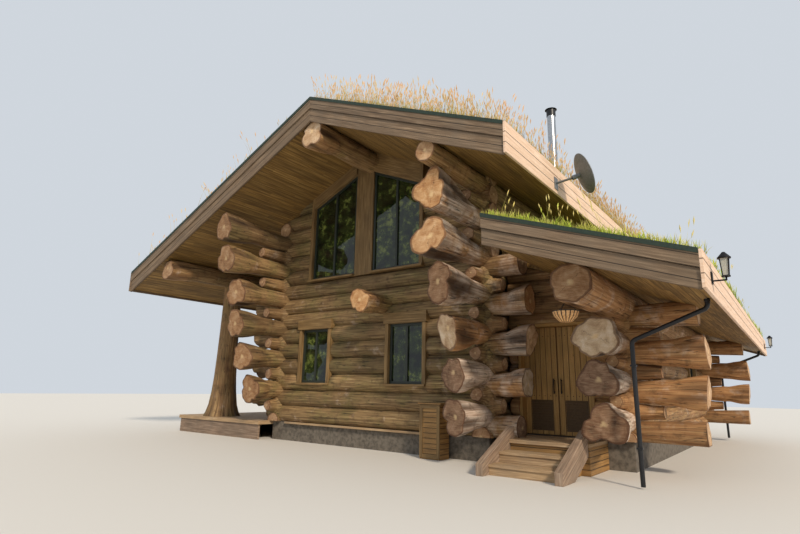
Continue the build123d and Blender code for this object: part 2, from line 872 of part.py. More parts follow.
left_inside = -left_eave + eave_board_thickness + seat_gap
right_inside = right_eave - eave_board_thickness - seat_gap
save("roof_deck_left", slope_band(left_inside, -seat_gap, roof_top, turf_depth, roof_depth,
                                  deck_y0, deck_y1))
save("roof_deck_right", slope_band(seat_gap, right_inside, roof_top, turf_depth, roof_depth,
                                   deck_y0, deck_y1))
turf_low = turf_depth - seat_gap
turf_left = slope_band(left_inside, -seat_gap, roof_top, turf_below_edge, turf_low, deck_y0, deck_y1)
turf_right = slope_band(seat_gap, right_inside, roof_top, turf_below_edge, turf_low, deck_y0, deck_y1)
flue_foot = roof_top(flue_x) - turf_depth
flue_hole = rod((flue_x, flue_y, flue_foot - flue_hole_below), (flue_x, flue_y, flue_foot + flue_hole_above),
                flue_radius + flue_sleeve + seat_gap)
save("turf_left", turf_left)
save("turf_right", turf_right - flue_hole)


def barge_boards(x0, x1, top_height, height, lap, y_face, inward):
    upper = sorted((y_face, y_face + inward * (barge_thickness + barge_step)))
    lower = sorted((y_face + inward * barge_step, y_face + inward * (barge_thickness + barge_step)))
    return [
        slope_band(x0, x1, top_height, trim_thickness + seat_gap, lap, upper[0], upper[1]),
        slope_band(x0, x1, top_height, lap + seat_gap, height, lower[0], lower[1]),
    ]


# Folded metal over the top edge of a bargeboard
def drip_edge(x0, x1, top_height, y_face, inward):
    front = sorted((y_face - inward * seat_gap, y_face - inward * (trim_thickness + seat_gap)))
    over = sorted((y_face - inward * (trim_thickness + seat_gap),
                   y_face + inward * (barge_thickness + barge_step)))
    with BuildPart() as edge:
        add(slope_band(x0, x1, top_height, 0, trim_height, front[0], front[1]))
        add(slope_band(x0, x1, top_height, 0, trim_thickness, over[0], over[1]))
    return edge.part


main_barges = []
drip_edges = []
for y_face, inward in ((roof_y0, 1), (roof_y1, -1)):
    for x0, x1 in ((left_inside, -seat_gap), (seat_gap, right_inside)):
        main_barges += barge_boards(x0, x1, roof_top, barge_height, barge_lap, y_face, inward)
        drip_edges.append(drip_edge(x0, x1, roof_top, y_face, inward))
save("main_bargeboards", main_barges)

left_edge_top = roof_top(left_eave)
right_edge_top = roof_top(right_eave)
save("left_eave_boards", slab(-left_eave, -left_eave + eave_board_thickness, roof_y0, roof_y1,
                              left_edge_top - eave_board_height, left_edge_top))
save("right_eave_boards", slab(right_eave - eave_board_thickness, right_eave, roof_y0, roof_y1,
                               right_edge_top - eave_board_height, right_edge_top))

# Roof deck, turf and edge boards of the lean-to
lean_inside = lean_eave - eave_board_thickness - seat_gap
lean_join = wall_half_width + log_radius + seat_gap
lean_notch_front = lean_front_y - lean_notch
lean_notch_back = wall_length + end_shoulder
lean_corner_front = slab(0, lean_roof_left, -far, lean_notch_front, 0, far)
lean_corner_back = slab(0, lean_roof_left, lean_notch_back, far, 0, far)
lean_deck = slope_band(lean_start, lean_inside, lean_top, turf_depth, lean_roof_depth, deck_y0, deck_y1)
lean_turf = slope_band(lean_start, lean_inside, lean_top, turf_below_edge, turf_low, deck_y0, deck_y1)
save("leanto_roof_deck", lean_deck - lean_corner_front - lean_corner_back)
save("leanto_turf", lean_turf - lean_corner_front - lean_corner_back)
lean_barges = []
for y_face, inward in ((roof_y0, 1), (roof_y1, -1)):
    lean_barges += barge_boards(lean_roof_left, lean_inside, lean_top, lean_barge_height, lean_barge_lap,
                                y_face, inward)
    drip_edges.append(drip_edge(lean_roof_left, lean_inside, lean_top, y_face, inward))
save("leanto_bargeboards", lean_barges)
save("leanto_eave_boards", slab(lean_eave - eave_board_thickness, lean_eave, roof_y0, roof_y1,
                                lean_top_at_eave - lean_eave_board_height, lean_top_at_eave))
save("drip_edges", drip_edges)

# Gable windows: a sloped head, a middle bar and two panes each
gable_frames = []
gable_panes = []
gable_boards = []
gable_posts = []
post_left = gable_post_x - gable_post_width / 2
post_right = gable_post_x + gable_post_width / 2
frame_sill = gable_sill + sill_height + seat_gap
ridge_hole = rod((0, -far, ridge_level), (0, far, ridge_level), ridge_radius + seat_gap)


def sloped(u0, u1, low, drop, inset):
    return [(u0, low), (u1, low), (u1, soffit(u1) - drop - inset), (u0, soffit(u0) - drop - inset)]


for wall_at, side in ((0, -1), (wall_length, 1)):
    for u0, u1, drop in ((gable_left, post_left - seat_gap, left_head_drop),
                         (post_right + seat_gap, gable_right, right_head_drop)):
        middle = (u0 + u1) / 2
        lower = frame_sill + frame_width
        panes = ((u0 + frame_width, middle - frame_width / 2), (middle + frame_width / 2, u1 - frame_width))
        holes = [sloped(a, b, lower, drop, frame_width) for a, b in panes]
        outline = sloped(u0, u1, frame_sill, drop, 0)
        gable_frames.append(wall_plate("x", wall_at, side, outline, frame_out - frame_depth, frame_out,
                                       holes))
        centre_out = frame_out - frame_depth / 2
        for a, b in panes:
            glass = sloped(a + seat_gap, b - seat_gap, lower + seat_gap, drop, frame_width + 2 * seat_gap)
            gable_panes.append(wall_plate("x", wall_at, side, glass, centre_out - glass_thickness / 2,
                                          centre_out + glass_thickness / 2))
        outer = gable_left if u0 == gable_left else gable_right
        away = -1 if u0 == gable_left else 1
        jamb_u = sorted((outer + away * seat_gap, outer + away * casing_width))
        jamb = sloped(jamb_u[0], jamb_u[1], frame_sill, seat_gap, 0)
        gable_boards.append(wall_plate("x", wall_at, side, jamb, -casing_in, casing_out))
        head = [(u0, soffit(u0) - drop + seat_gap), (u1, soffit(u1) - drop + seat_gap),
                (u1, soffit(u1) - seat_gap), (u0, soffit(u0) - seat_gap)]
        head_board = wall_plate("x", wall_at, side, head, -casing_in, casing_out)
        gable_boards.append(head_board - ridge_hole)
        sill_end = post_left - seat_gap if away < 0 else post_right + seat_gap
        sill_u = sorted((outer + away * casing_width, sill_end))
        sill_board = rectangle(sill_u[0], sill_u[1], gable_sill + seat_gap, gable_sill + sill_height)
        gable_boards.append(wall_plate("x", wall_at, side, sill_board, -casing_in, casing_out + sill_nose))
    post_outline = rectangle(post_left, post_right, gable_sill + seat_gap, ridge_level)
    gable_post = wall_plate("x", wall_at, side, post_outline, -gable_post_depth / 2, gable_post_depth / 2)
    gable_posts.append(gable_post - ridge_hole)
save("gable_posts", gable_posts)
save("gable_window_boards", gable_boards)

# Small windows
for centre in small_front_x:
    make_window("x", 0, -1, centre, small_width, small_height, small_sill, lintel_height)
    make_window("x", wall_length, 1, centre, small_width, small_height, small_sill, lintel_height)
for centre in side_window_y:
    make_window("y", -wall_half_width, -1, centre, small_width, small_height, side_sill, lintel_height)
    make_window("y", lean_wall_x, 1, centre, small_width, lean_window_height, lean_window_sill,
                lean_lintel_height)
save("window_frames", window_frames + gable_frames)
save("window_glass", window_panes + gable_panes)
save("window_casings", window_casings)

# Plinths and floors
inner_x = wall_half_width - plinth_thickness / 2
outer_x = wall_half_width + plinth_thickness / 2
half_plinth = plinth_thickness / 2
plinth_top = wall_base - seat_gap
lean_inner = lean_wall_x - half_plinth
lean_outer = lean_wall_x + half_plinth
save("plinth", [
    slab(-outer_x, -inner_x, -half_plinth, wall_length + half_plinth, 0, plinth_top),
    slab(inner_x, outer_x, -half_plinth, wall_length + half_plinth, 0, plinth_top),
    slab(-inner_x + seat_gap, inner_x - seat_gap, -half_plinth, half_plinth, 0, plinth_top),
    slab(-inner_x + seat_gap, inner_x - seat_gap, wall_length - half_plinth, wall_length + half_plinth,
         0, plinth_top),
    slab(lean_inner, lean_outer, lean_front_y - half_plinth, wall_length + half_plinth,
         0, lean_base - seat_gap),
    slab(lean_start, lean_inner - seat_gap, lean_front_y - half_plinth, lean_front_y + half_plinth,
         0, lean_base - seat_gap),
    slab(lean_start, lean_inner - seat_gap, wall_length - half_plinth, wall_length + half_plinth,
         0, lean_base - seat_gap),
])
save("main_floor", slab(-inner_x + seat_gap, inner_x - seat_gap, half_plinth + seat_gap,
                        wall_length - half_plinth - seat_gap, wall_base - floor_thickness, wall_base))
save("leanto_floor", [
    slab(lean_start, lean_inner - seat_gap, lean_front_y + half_plinth + seat_gap,
         wall_length - half_plinth - seat_gap, lean_base - floor_thickness, lean_base),
    slab(wall_half_width - log_radius, lean_start - seat_gap, inner_y0 + seat_gap, inner_y1 - seat_gap,
         wall_base + seat_gap, lean_base),
])
save("base_flashing", slab(-flashing_half, cabinet_x0 - flashing_from_cabinet,
                           -half_plinth - flashing_out, -half_plinth - seat_gap,
                           wall_base - flashing_height, wall_base - seat_gap))

# Porch floor, its base and the steps
porch_right = lean_wall_x - porch_side
porch_back = lean_front_y - half_plinth - seat_gap
porch_x0 = step_left + seat_gap
porch_x1 = step_right - seat_gap
stringer_clear = seat_gap - stringer_back
with BuildPart() as porch_floor:
    with BuildSketch(Plane.XY.offset(porch_top - porch_deck)):
        with BuildLine():
            Polyline(
                [(porch_x0, -porch_front), (porch_x1, -porch_front), (porch_x1, stringer_clear),
                 (porch_right, stringer_clear), (porch_right, porch_back),
                 (lean_join, porch_back), (lean_join, porch_inset), (porch_x0, porch_inset)],
                close=True,
            )
        make_face()
    extrude(amount=porch_deck)
porch_floor.part.label = "porch_floor"
export_step(porch_floor.part, "parts/porch_floor.step")
save("porch_base", [
    slab(porch_x0, porch_x1, -porch_front + step_board, porch_back, 0, porch_top - porch_deck - seat_gap),
    slab(step_right, porch_right, stringer_clear, porch_back, 0, porch_top - porch_deck - seat_gap),
])

treads = []
for count in (1, 2):
    back = -porch_front - (2 - count) * step_tread
    top = count * step_rise
    outline = [(back - step_tread - step_nosing, top), (back - step_tread - step_nosing, top - step_board),
               (back - step_tread, top - step_board), (back - step_tread, top - step_rise),
               (back - step_tread + step_board, top - step_rise),
               (back - step_tread + step_board, top - step_board),
               (back - seat_gap, top - step_board), (back - seat_gap, top)]
    if count == 2:
        outline[3] = (back - step_tread, top - step_rise + seat_gap)
        outline[4] = (back - step_tread + step_board, top - step_rise + seat_gap)
    treads.append(side_plate(outline, porch_x0, porch_x1))
save("porch_steps", treads)
stringer_outline = [
    (-stringer_front, 0), (-stringer_front, stringer_toe), (-stringer_back, stringer_head),
    (-stringer_back, stringer_head - stringer_height), (-stringer_front + stringer_foot, 0),
]
save("step_stringers", [
    side_plate(stringer_outline, step_left - stringer_thickness, step_left),
    side_plate(stringer_outline, step_right, step_right + stringer_thickness),
])

# Doors in the lean-to's front wall
jamb_low = lean_base + seat_gap
jamb_y0 = door_face_y + door_thickness - jamb_depth
jamb_y1 = door_face_y + door_thickness
frame_parts = [
    slab(door_left_x - jamb_width, door_left_x, jamb_y0, jamb_y1, jamb_low, door_head - seat_gap),
    slab(door_right_x, door_right_x + jamb_width, jamb_y0, jamb_y1, jamb_low, door_head - seat_gap),
    slab(door_left_x - jamb_width, door_right_x + jamb_width, jamb_y0, jamb_y1, door_head,
         door_head + jamb_width),
]
save("door_frame", frame_parts)

door_low = lean_base + door_gap * 2
door_top = door_head - door_gap
door_middle = (door_left_x + door_right_x) / 2
hinge_y = door_face_y + door_thickness + hinge_out
frame_hinges = []
for side, hinge_side_x in ((1, door_left_x), (-1, door_right_x)):
    hinge_x = hinge_side_x + side * door_gap / 2
    leaf_u = sorted((hinge_side_x + side * door_gap, door_middle - side * door_meeting_gap / 2))
    plate_u = sorted((hinge_side_x + side * door_gap, hinge_side_x + side * (door_gap + hinge_plate)))
    fixed_u = sorted((hinge_side_x, hinge_side_x - side * (hinge_plate - hinge_fixed_less)))
    louvre_u = sorted((hinge_side_x + side * louvre_inset_hinge, door_middle - side * louvre_inset_middle))
    leaf_name = "door_left" if side == 1 else "door_right"
    plate_y0 = door_face_y + door_thickness
    with BuildPart() as leaf:
        add(slab(leaf_u[0], leaf_u[1], door_face_y, door_face_y + door_thickness, door_low, door_top))
        add(slab(louvre_u[0] - seat_gap, louvre_u[1] + seat_gap,
                 door_face_y - louvre_cut_clear, door_face_y + louvre_depth,
                 louvre_low - seat_gap, louvre_top + seat_gap), mode=Mode.SUBTRACT)
        for height in hinge_levels:
            low = door_low + height
            high = low + hinge_height / 2 - seat_gap
            add(rod((hinge_x, hinge_y, low), (hinge_x, hinge_y, high), hinge_radius))
            add(slab(plate_u[0], plate_u[1], plate_y0, plate_y0 + hinge_leaf, low, high))
            add(slab(min(hinge_x, plate_u[0]), max(hinge_x, plate_u[1]),
                     plate_y0 + hinge_bridge_step, plate_y0 + hinge_leaf + hinge_bridge_proud, low, high))
    leaf.part.label = leaf_name
    export_step(leaf.part, f"parts/{leaf_name}.step")
    for height in hinge_levels:
        low = door_low + height + hinge_height / 2
        high = low + hinge_height / 2
        with BuildPart() as knuckle:
            add(rod((hinge_x, hinge_y, low), (hinge_x, hinge_y, high), hinge_radius))
            add(slab(fixed_u[0], fixed_u[1], plate_y0 + seat_gap, plate_y0 + hinge_leaf, low, high))
            add(slab(min(hinge_x, fixed_u[0]), max(hinge_x, fixed_u[1]),
                     plate_y0 + hinge_bridge_step, plate_y0 + hinge_leaf + hinge_bridge_proud, low, high))
        frame_hinges.append(knuckle.part)
    with BuildPart() as louvre:
        add(slab(louvre_u[0], louvre_u[1], door_face_y + louvre_depth / 2,
                 door_face_y + louvre_depth - seat_gap, louvre_low, louvre_top))
        slat_pitch = (louvre_top - louvre_low) / louvre_slats
        slat_back = door_face_y + louvre_depth / 2 + louvre_slat_sink
        for slat in range(louvre_slats):
            slat_low = louvre_low + slat * slat_pitch
            add(side_plate([(slat_back, slat_low), (door_face_y + louvre_slat_set_back, slat_low),
                            (slat_back, slat_low + slat_pitch * louvre_slat_share)],
                           louvre_u[0], louvre_u[1]))
    louvre.part.label = f"{leaf_name}_louvre"
    export_step(louvre.part, f"parts/{leaf_name}_louvre.step")
    handle_x = door_middle - side * handle_from_middle
    handles = []
    for face_y, out in ((door_face_y, -1), (door_face_y + door_thickness, 1)):
        bar_y = face_y + out * handle_stand_off
        low = door_low + handle_level
        high = low + handle_length
        with BuildPart() as handle:
            add(rod((handle_x, bar_y, low), (handle_x, bar_y, high), handle_radius))
            for z in (low + handle_stem_inset, high - handle_stem_inset):
                add(rod((handle_x, bar_y, z), (handle_x, face_y + out * seat_gap, z), handle_stem_radius))
        handles.append(handle.part)
    save(f"{leaf_name}_handles", handles)
save("door_hinges", frame_hinges)

# Veranda deck along the left side
deck_in = -wall_half_width - half_plinth - seat_gap
with BuildPart() as veranda_deck:
    add(slab(-deck_out, deck_in, -deck_end, wall_length + deck_end,
             deck_top - deck_thickness, deck_top - seat_gap))
veranda_deck.part.label = "veranda_deck"
export_step(veranda_deck.part, "parts/veranda_deck.step")
skirt_x0 = -deck_out + skirt_inset
skirt_x1 = skirt_x0 + skirt_thickness
skirt_y0 = -deck_end + skirt_inset
skirt_y1 = wall_length + deck_end - skirt_inset
skirt_top = deck_top - deck_thickness - seat_gap
save("veranda_skirt", [
    slab(skirt_x0, skirt_x1, skirt_y0, skirt_y1, 0, skirt_top),
    slab(skirt_x1 + seat_gap, deck_in - skirt_inset, skirt_y0, skirt_y0 + skirt_thickness, 0, skirt_top),
    slab(skirt_x1 + seat_gap, deck_in - skirt_inset, skirt_y1 - skirt_thickness, skirt_y1, 0, skirt_top),
])

# Flue with its rain cap
flue_low = flue_foot + roof_slope * flue_sleeve
flue_seam = flue_top - cap_height
with BuildPart() as flue:
    with BuildSketch(Plane(origin=(flue_x, flue_y, 0), x_dir=(1, 0, 0), z_dir=(0, -1, 0))):
        with BuildLine():
            Polyline(
                [(0, flue_low - flue_hole_below), (flue_radius + flue_sleeve, flue_low - flue_hole_below),
                 (flue_radius + flue_sleeve, flue_low + sleeve_height),
                 (flue_radius, flue_low + sleeve_height + sleeve_taper),
                 (flue_radius, flue_seam), (0, flue_seam)],
                close=True,
            )
        make_face()
    revolve(axis=Axis((flue_x, flue_y, 0), (0, 0, 1)))
    add(slope_band(flue_x - flue_trim_half, flue_x + flue_trim_half, roof_top, turf_depth - seat_gap,
                   flue_trim_depth, flue_y - flue_trim_half, flue_y + flue_trim_half), mode=Mode.SUBTRACT)
flue.part.label = "flue"
export_step(flue.part, "parts/flue.step")
with BuildPart() as flue_cap:
    with BuildSketch(Plane(origin=(flue_x, flue_y, 0), x_dir=(1, 0, 0), z_dir=(0, -1, 0))):
        with BuildLine():
            Polyline(
                [(0, flue_seam + seat_gap), (flue_radius + cap_step, flue_seam + seat_gap),
                 (flue_radius + cap_step, flue_top - cap_brim_drop),
                 (flue_radius + cap_brim, flue_top - cap_brim_drop),
                 (flue_radius * cap_peak_share, flue_top), (0, flue_top)],
                close=True,
            )
        make_face()
    revolve(axis=Axis((flue_x, flue_y, 0), (0, 0, 1)))
flue_cap.part.label = "flue_cap"
export_step(flue_cap.part, "parts/flue_cap.step")

# Satellite dish on the main roof's right eave
dish_centre = Vector(right_eave + dish_out, dish_y, dish_z)
dish_plane = Plane(origin=dish_centre, z_dir=dish_facing)
profile_plane = Plane(origin=dish_centre, x_dir=dish_plane.x_dir, z_dir=-dish_plane.y_dir)
dish_waist = dish_radius * dish_waist_share
dish_waist_depth = dish_depth * dish_waist_depth_share
with BuildPart() as dish:
    with BuildSketch(profile_plane):
        with BuildLine():
            Spline((0, 0), (dish_waist, dish_waist_depth), (dish_radius, dish_depth),
                   tangents=((1, 0), (1, dish_rim_slope)))
            Line((dish_radius, dish_depth), (dish_radius, dish_depth - dish_thickness))
            Spline((dish_radius, dish_depth - dish_thickness),
                   (dish_waist, dish_waist_depth - dish_thickness), (0, -dish_thickness),
                   tangents=((-1, -dish_rim_slope), (-1, 0)))
            Line((0, -dish_thickness), (0, 0))
        make_face()
    revolve(axis=Axis(dish_centre, dish_plane.z_dir))
dish.part.label = "satellite_dish"
export_step(dish.part, "parts/satellite_dish.step")
arm_start = dish_centre - dish_plane.z_dir * (dish_thickness + seat_gap)
arm_elbow = dish_centre - dish_plane.z_dir * dish_neck_length
wall_point = Vector(right_eave + dish_bar_from_wall, dish_y, dish_z - dish_bar_drop)
with BuildPart() as dish_arm:
    add(rod(tuple(arm_start), tuple(arm_elbow), dish_neck_radius))
    add(rod(tuple(wall_point), tuple(arm_elbow), dish_bar_radius))
    add(slab(right_eave + seat_gap, right_eave + dish_plate_thickness,
             dish_y - dish_plate_half, dish_y + dish_plate_half,
             dish_z - dish_plate_below, dish_z + dish_plate_above))
dish_arm.part.label = "dish_arm"
export_step(dish_arm.part, "parts/dish_arm.step")

# Meter cabinet against the front wall
cabinet_y1 = -log_radius - seat_gap
cabinet_y0 = cabinet_y1 - cabinet_depth
cabinet_x1 = cabinet_x0 + cabinet_width
save("meter_cabinet", [
    slab(cabinet_x0, cabinet_x1, cabinet_y0, cabinet_y1, 0, cabinet_height),
    slab(cabinet_x0 - lid_overhang, cabinet_x1 + lid_overhang, cabinet_y0 - lid_overhang, cabinet_y1,
         cabinet_height + seat_gap, cabinet_height + lid_thickness),
])

# Downpipes at both ends of the lean-to's eave
pipes = []
for pipe_y in (pipe_front_y, wall_length - pipe_front_y):
    socket_radius = pipe_socket_share * pipe_radius
    pipe_head = lean_soffit(pipe_eave_x + socket_radius) - seat_gap
    with BuildPart() as pipe:
        with BuildLine():
            route = FilletPolyline(
                (pipe_eave_x, pipe_y, pipe_head), (pipe_eave_x, pipe_y, pipe_head - pipe_drop),
                (pipe_wall_x, pipe_y, pipe_knee), (pipe_wall_x, pipe_y, pipe_foot),
                radius=pipe_bend_radius,
            )
        with BuildSketch(Plane(origin=(pipe_eave_x, pipe_y, pipe_head), z_dir=(0, 0, -1))):
            Circle(pipe_radius)
        sweep(path=route.wire())
        add(rod((pipe_eave_x, pipe_y, pipe_head - pipe_socket_length), (pipe_eave_x, pipe_y, pipe_head),
                socket_radius))
    pipes.append(pipe.part)
save("downpipes", pipes)

# Lanterns: a wall plate, a bent arm, a glass body between a base and a cap
lantern_frames = []
lantern_glass = []
lantern_x = lean_eave + lantern_out
lantern_arm_level = lantern_level - lantern_arm_drop
glass_low = lantern_level + lantern_disc
glass_high = glass_low + lantern_height
for lantern_y in (lantern_front_y, lantern_back_y):
    with BuildPart() as lantern:
        add(slab(lean_eave + seat_gap, lean_eave + lantern_plate,
                 lantern_y - lantern_plate_half, lantern_y + lantern_plate_half,
                 lantern_level - lantern_plate_rise, lantern_level + lantern_plate_rise))
        add(rod((lean_eave + lantern_plate - lantern_arm_lap, lantern_y, lantern_arm_level),
                (lantern_x, lantern_y, lantern_arm_level), lantern_arm_radius))
        add(rod((lantern_x, lantern_y, lantern_arm_level - lantern_arm_seat),
                (lantern_x, lantern_y, lantern_level), lantern_arm_radius))
        with Locations((lantern_x, lantern_y, lantern_level + lantern_disc / 2)):
            Cylinder(lantern_half * lantern_base_share, lantern_disc)
        with Locations((lantern_x, lantern_y, glass_high + lantern_disc / 2)):
            Cylinder(lantern_half * lantern_lid_share, lantern_disc)
        with Locations((lantern_x, lantern_y, glass_high + lantern_disc + lantern_roof_height / 2)):
            Cone(lantern_half * lantern_roof_share, lantern_half * lantern_tip_share, lantern_roof_height)
        for dx, dy in ((-1, -1), (-1, 1), (1, -1), (1, 1)):
            bar_in = lantern_half * lantern_bar_low_share
            bar_out = lantern_half * lantern_bar_high_share
            add(rod((lantern_x + dx * bar_in, lantern_y + dy * bar_in, lantern_level + lantern_disc / 2),
                    (lantern_x + dx * bar_out, lantern_y + dy * bar_out, glass_high + lantern_disc / 2),
                    lantern_bar_radius))
    lantern_frames.append(lantern.part)
    with BuildPart() as glass_body:
        with BuildSketch(Plane(origin=(lantern_x, lantern_y, glass_low + seat_gap))):
            Rectangle(lantern_half * lantern_glass_low_share, lantern_half * lantern_glass_low_share)
        with BuildSketch(Plane(origin=(lantern_x, lantern_y, glass_high - seat_gap))):
            Rectangle(lantern_half * lantern_glass_high_share, lantern_half * lantern_glass_high_share)
        loft()
    lantern_glass.append(glass_body.part)
save("lantern_frames", lantern_frames)
save("lantern_glass", lantern_glass)

# Hanging basket: a bowl of wood strips hung on three wires from the plate log
hook_offset = lean_wall_x - basket_x - hook_radius
hook_top = lean_plate_level - (lean_plate_radius ** 2 - hook_offset ** 2) ** 0.5 - seat_gap
hook_level = hook_top - hook_drop
basket_foot = basket_radius * basket_foot_share
basket_belly = basket_radius * basket_belly_share
basket_belly_drop = basket_drop * basket_belly_drop_share
with BuildPart() as basket:
    with BuildSketch(Plane(origin=(basket_x, basket_y, basket_rim), x_dir=(1, 0, 0), z_dir=(0, -1, 0))):
        with BuildLine():
            Polyline(
                [(0, -basket_drop), (basket_foot, -basket_drop), (basket_belly, -basket_belly_drop),
                 (basket_radius, 0), (basket_radius - basket_wall, 0),
                 (basket_belly - basket_wall, -basket_belly_drop + basket_wall / 2),
                 (basket_foot - basket_wall / 2, -basket_drop + basket_wall),
                 (0, -basket_drop + basket_wall)],
                close=True,
            )
        make_face()
    revolve(axis=Axis((basket_x, basket_y, basket_rim), (0, 0, 1)))
    for turn in range(basket_wires):
        wire_angle = basket_first_wire + 360 / basket_wires * turn
        rim_point = Vector(basket_radius - basket_wall / 2, 0, 0).rotate(Axis.Z, wire_angle)
        add(rod((basket_x + rim_point.X, basket_y + rim_point.Y, basket_rim - basket_wire_sink),
                (basket_x, basket_y, hook_level), basket_wire_radius))
    add(rod((basket_x, basket_y, hook_level - hook_lap), (basket_x, basket_y, hook_top), hook_radius))
basket.part.label = "hanging_basket"
export_step(basket.part, "parts/hanging_basket.step")
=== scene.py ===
import bpy
import bmesh
from functools import partial
from math import sin, cos, pi, radians, sqrt
from random import Random
from mathutils import Vector, Matrix, noise


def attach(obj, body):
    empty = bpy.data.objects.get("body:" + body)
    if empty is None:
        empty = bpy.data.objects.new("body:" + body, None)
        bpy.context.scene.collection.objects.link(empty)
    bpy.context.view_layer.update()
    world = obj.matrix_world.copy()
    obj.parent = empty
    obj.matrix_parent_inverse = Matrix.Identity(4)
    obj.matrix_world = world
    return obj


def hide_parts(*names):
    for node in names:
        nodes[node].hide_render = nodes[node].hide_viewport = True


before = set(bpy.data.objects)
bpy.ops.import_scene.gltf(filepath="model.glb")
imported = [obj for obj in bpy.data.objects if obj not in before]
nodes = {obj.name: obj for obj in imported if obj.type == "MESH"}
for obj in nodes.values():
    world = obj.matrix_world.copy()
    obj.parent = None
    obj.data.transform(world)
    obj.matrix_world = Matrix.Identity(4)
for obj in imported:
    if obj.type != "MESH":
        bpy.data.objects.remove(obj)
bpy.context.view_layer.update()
scene = bpy.context.scene
scene.view_settings.view_transform = "Standard"


# Colours and materials

def hexToLinear(code):
    parts = [int(code[i:i + 2], 16) / 255 for i in (1, 3, 5)]
    return [p / 12.92 if p <= 0.04045 else ((p + 0.055) / 1.055) ** 2.4 for p in parts] + [1.0]


# Adds a node with its settings and links, and gives the socket that is asked for
def addNode(tree, kind, inputs=None, output=0, stops=None, **settings):
    family = ("Geometry", "Function", "NodeGroup", "Shader")
    node = tree.nodes.new(kind if kind.startswith(family) else "ShaderNode" + kind)
    for key, value in settings.items():
        setattr(node, key, value)
    for place, (at, code) in enumerate(stops or ()):
        elements = node.color_ramp.elements
        element = elements[place] if place < len(elements) else elements.new(at)
        element.position = at
        element.color = hexToLinear(code) if isinstance(code, str) else (code, code, code, 1)
    for socket, value in (inputs or {}).items():
        if isinstance(value, bpy.types.NodeSocket):
            tree.links.new(value, node.inputs[socket])
        else:
            colour = isinstance(value, str) and value.startswith("#")
            node.inputs[socket].default_value = hexToLinear(value) if colour else value
    return node.outputs[output] if len(node.outputs) else node


# An empty material, and the helper bound to its tree
def newMaterial(name):
    material = bpy.data.materials.new(name)
    material.use_nodes = True
    material.node_tree.nodes.clear()
    return material, partial(addNode, material.node_tree)


# The shader, with its reliefs laid over one another in turn: height, strength and depth in metres
def withShader(material, add, colour, reliefs, roughness, metallic=0.0, **values):
    sockets = {"Base Color": colour, "Roughness": roughness, "Metallic": metallic}
    sockets.update({key.replace("_", " "): value for key, value in values.items()})
    for height, strength, depth in reliefs:
        below = {"Normal": sockets["Normal"]} if "Normal" in sockets else {}
        sockets["Normal"] = add("Bump", {"Height": height, "Strength": strength, "Distance": depth, **below})
    add("OutputMaterial", {"Surface": add("BsdfPrincipled", sockets)})
    return material


# Colours over one another through their masks, with the piece's own tone laid in between the early and the late
def woodColour(add, base, early, late, tone, spread, darkest):
    for mask, over in early:
        base = add("Mix", {0: mask, 6: base, 7: over}, 2, data_type="RGBA")
    value = add("Math", {0: tone, 1: spread, 2: darkest}, operation="MULTIPLY_ADD")
    base = add("HueSaturation", {"Color": base, "Value": value})
    for mask, over in late:
        base = add("Mix", {0: mask, 6: base, 7: over}, 2, data_type="RGBA")
    return base


# The number of the board that a place lies on, the mask of the lines between boards, and the relief of those lines
def boardLines(add, place, start, edge, strength):
    board = add("Math", {0: place}, operation="FLOOR")
    inside = add("Math", {0: place}, operation="FRACT")
    middle = add("Math", {0: inside, 1: 0.5}, operation="SUBTRACT")
    fromMiddle = add("Math", {0: middle}, operation="ABSOLUTE")
    line = add("ValToRGB", {"Fac": fromMiddle}, stops=[(start, 0.0), (edge, strength)])
    return board, line, add("Math", {0: 1.0, 1: line}, operation="SUBTRACT")


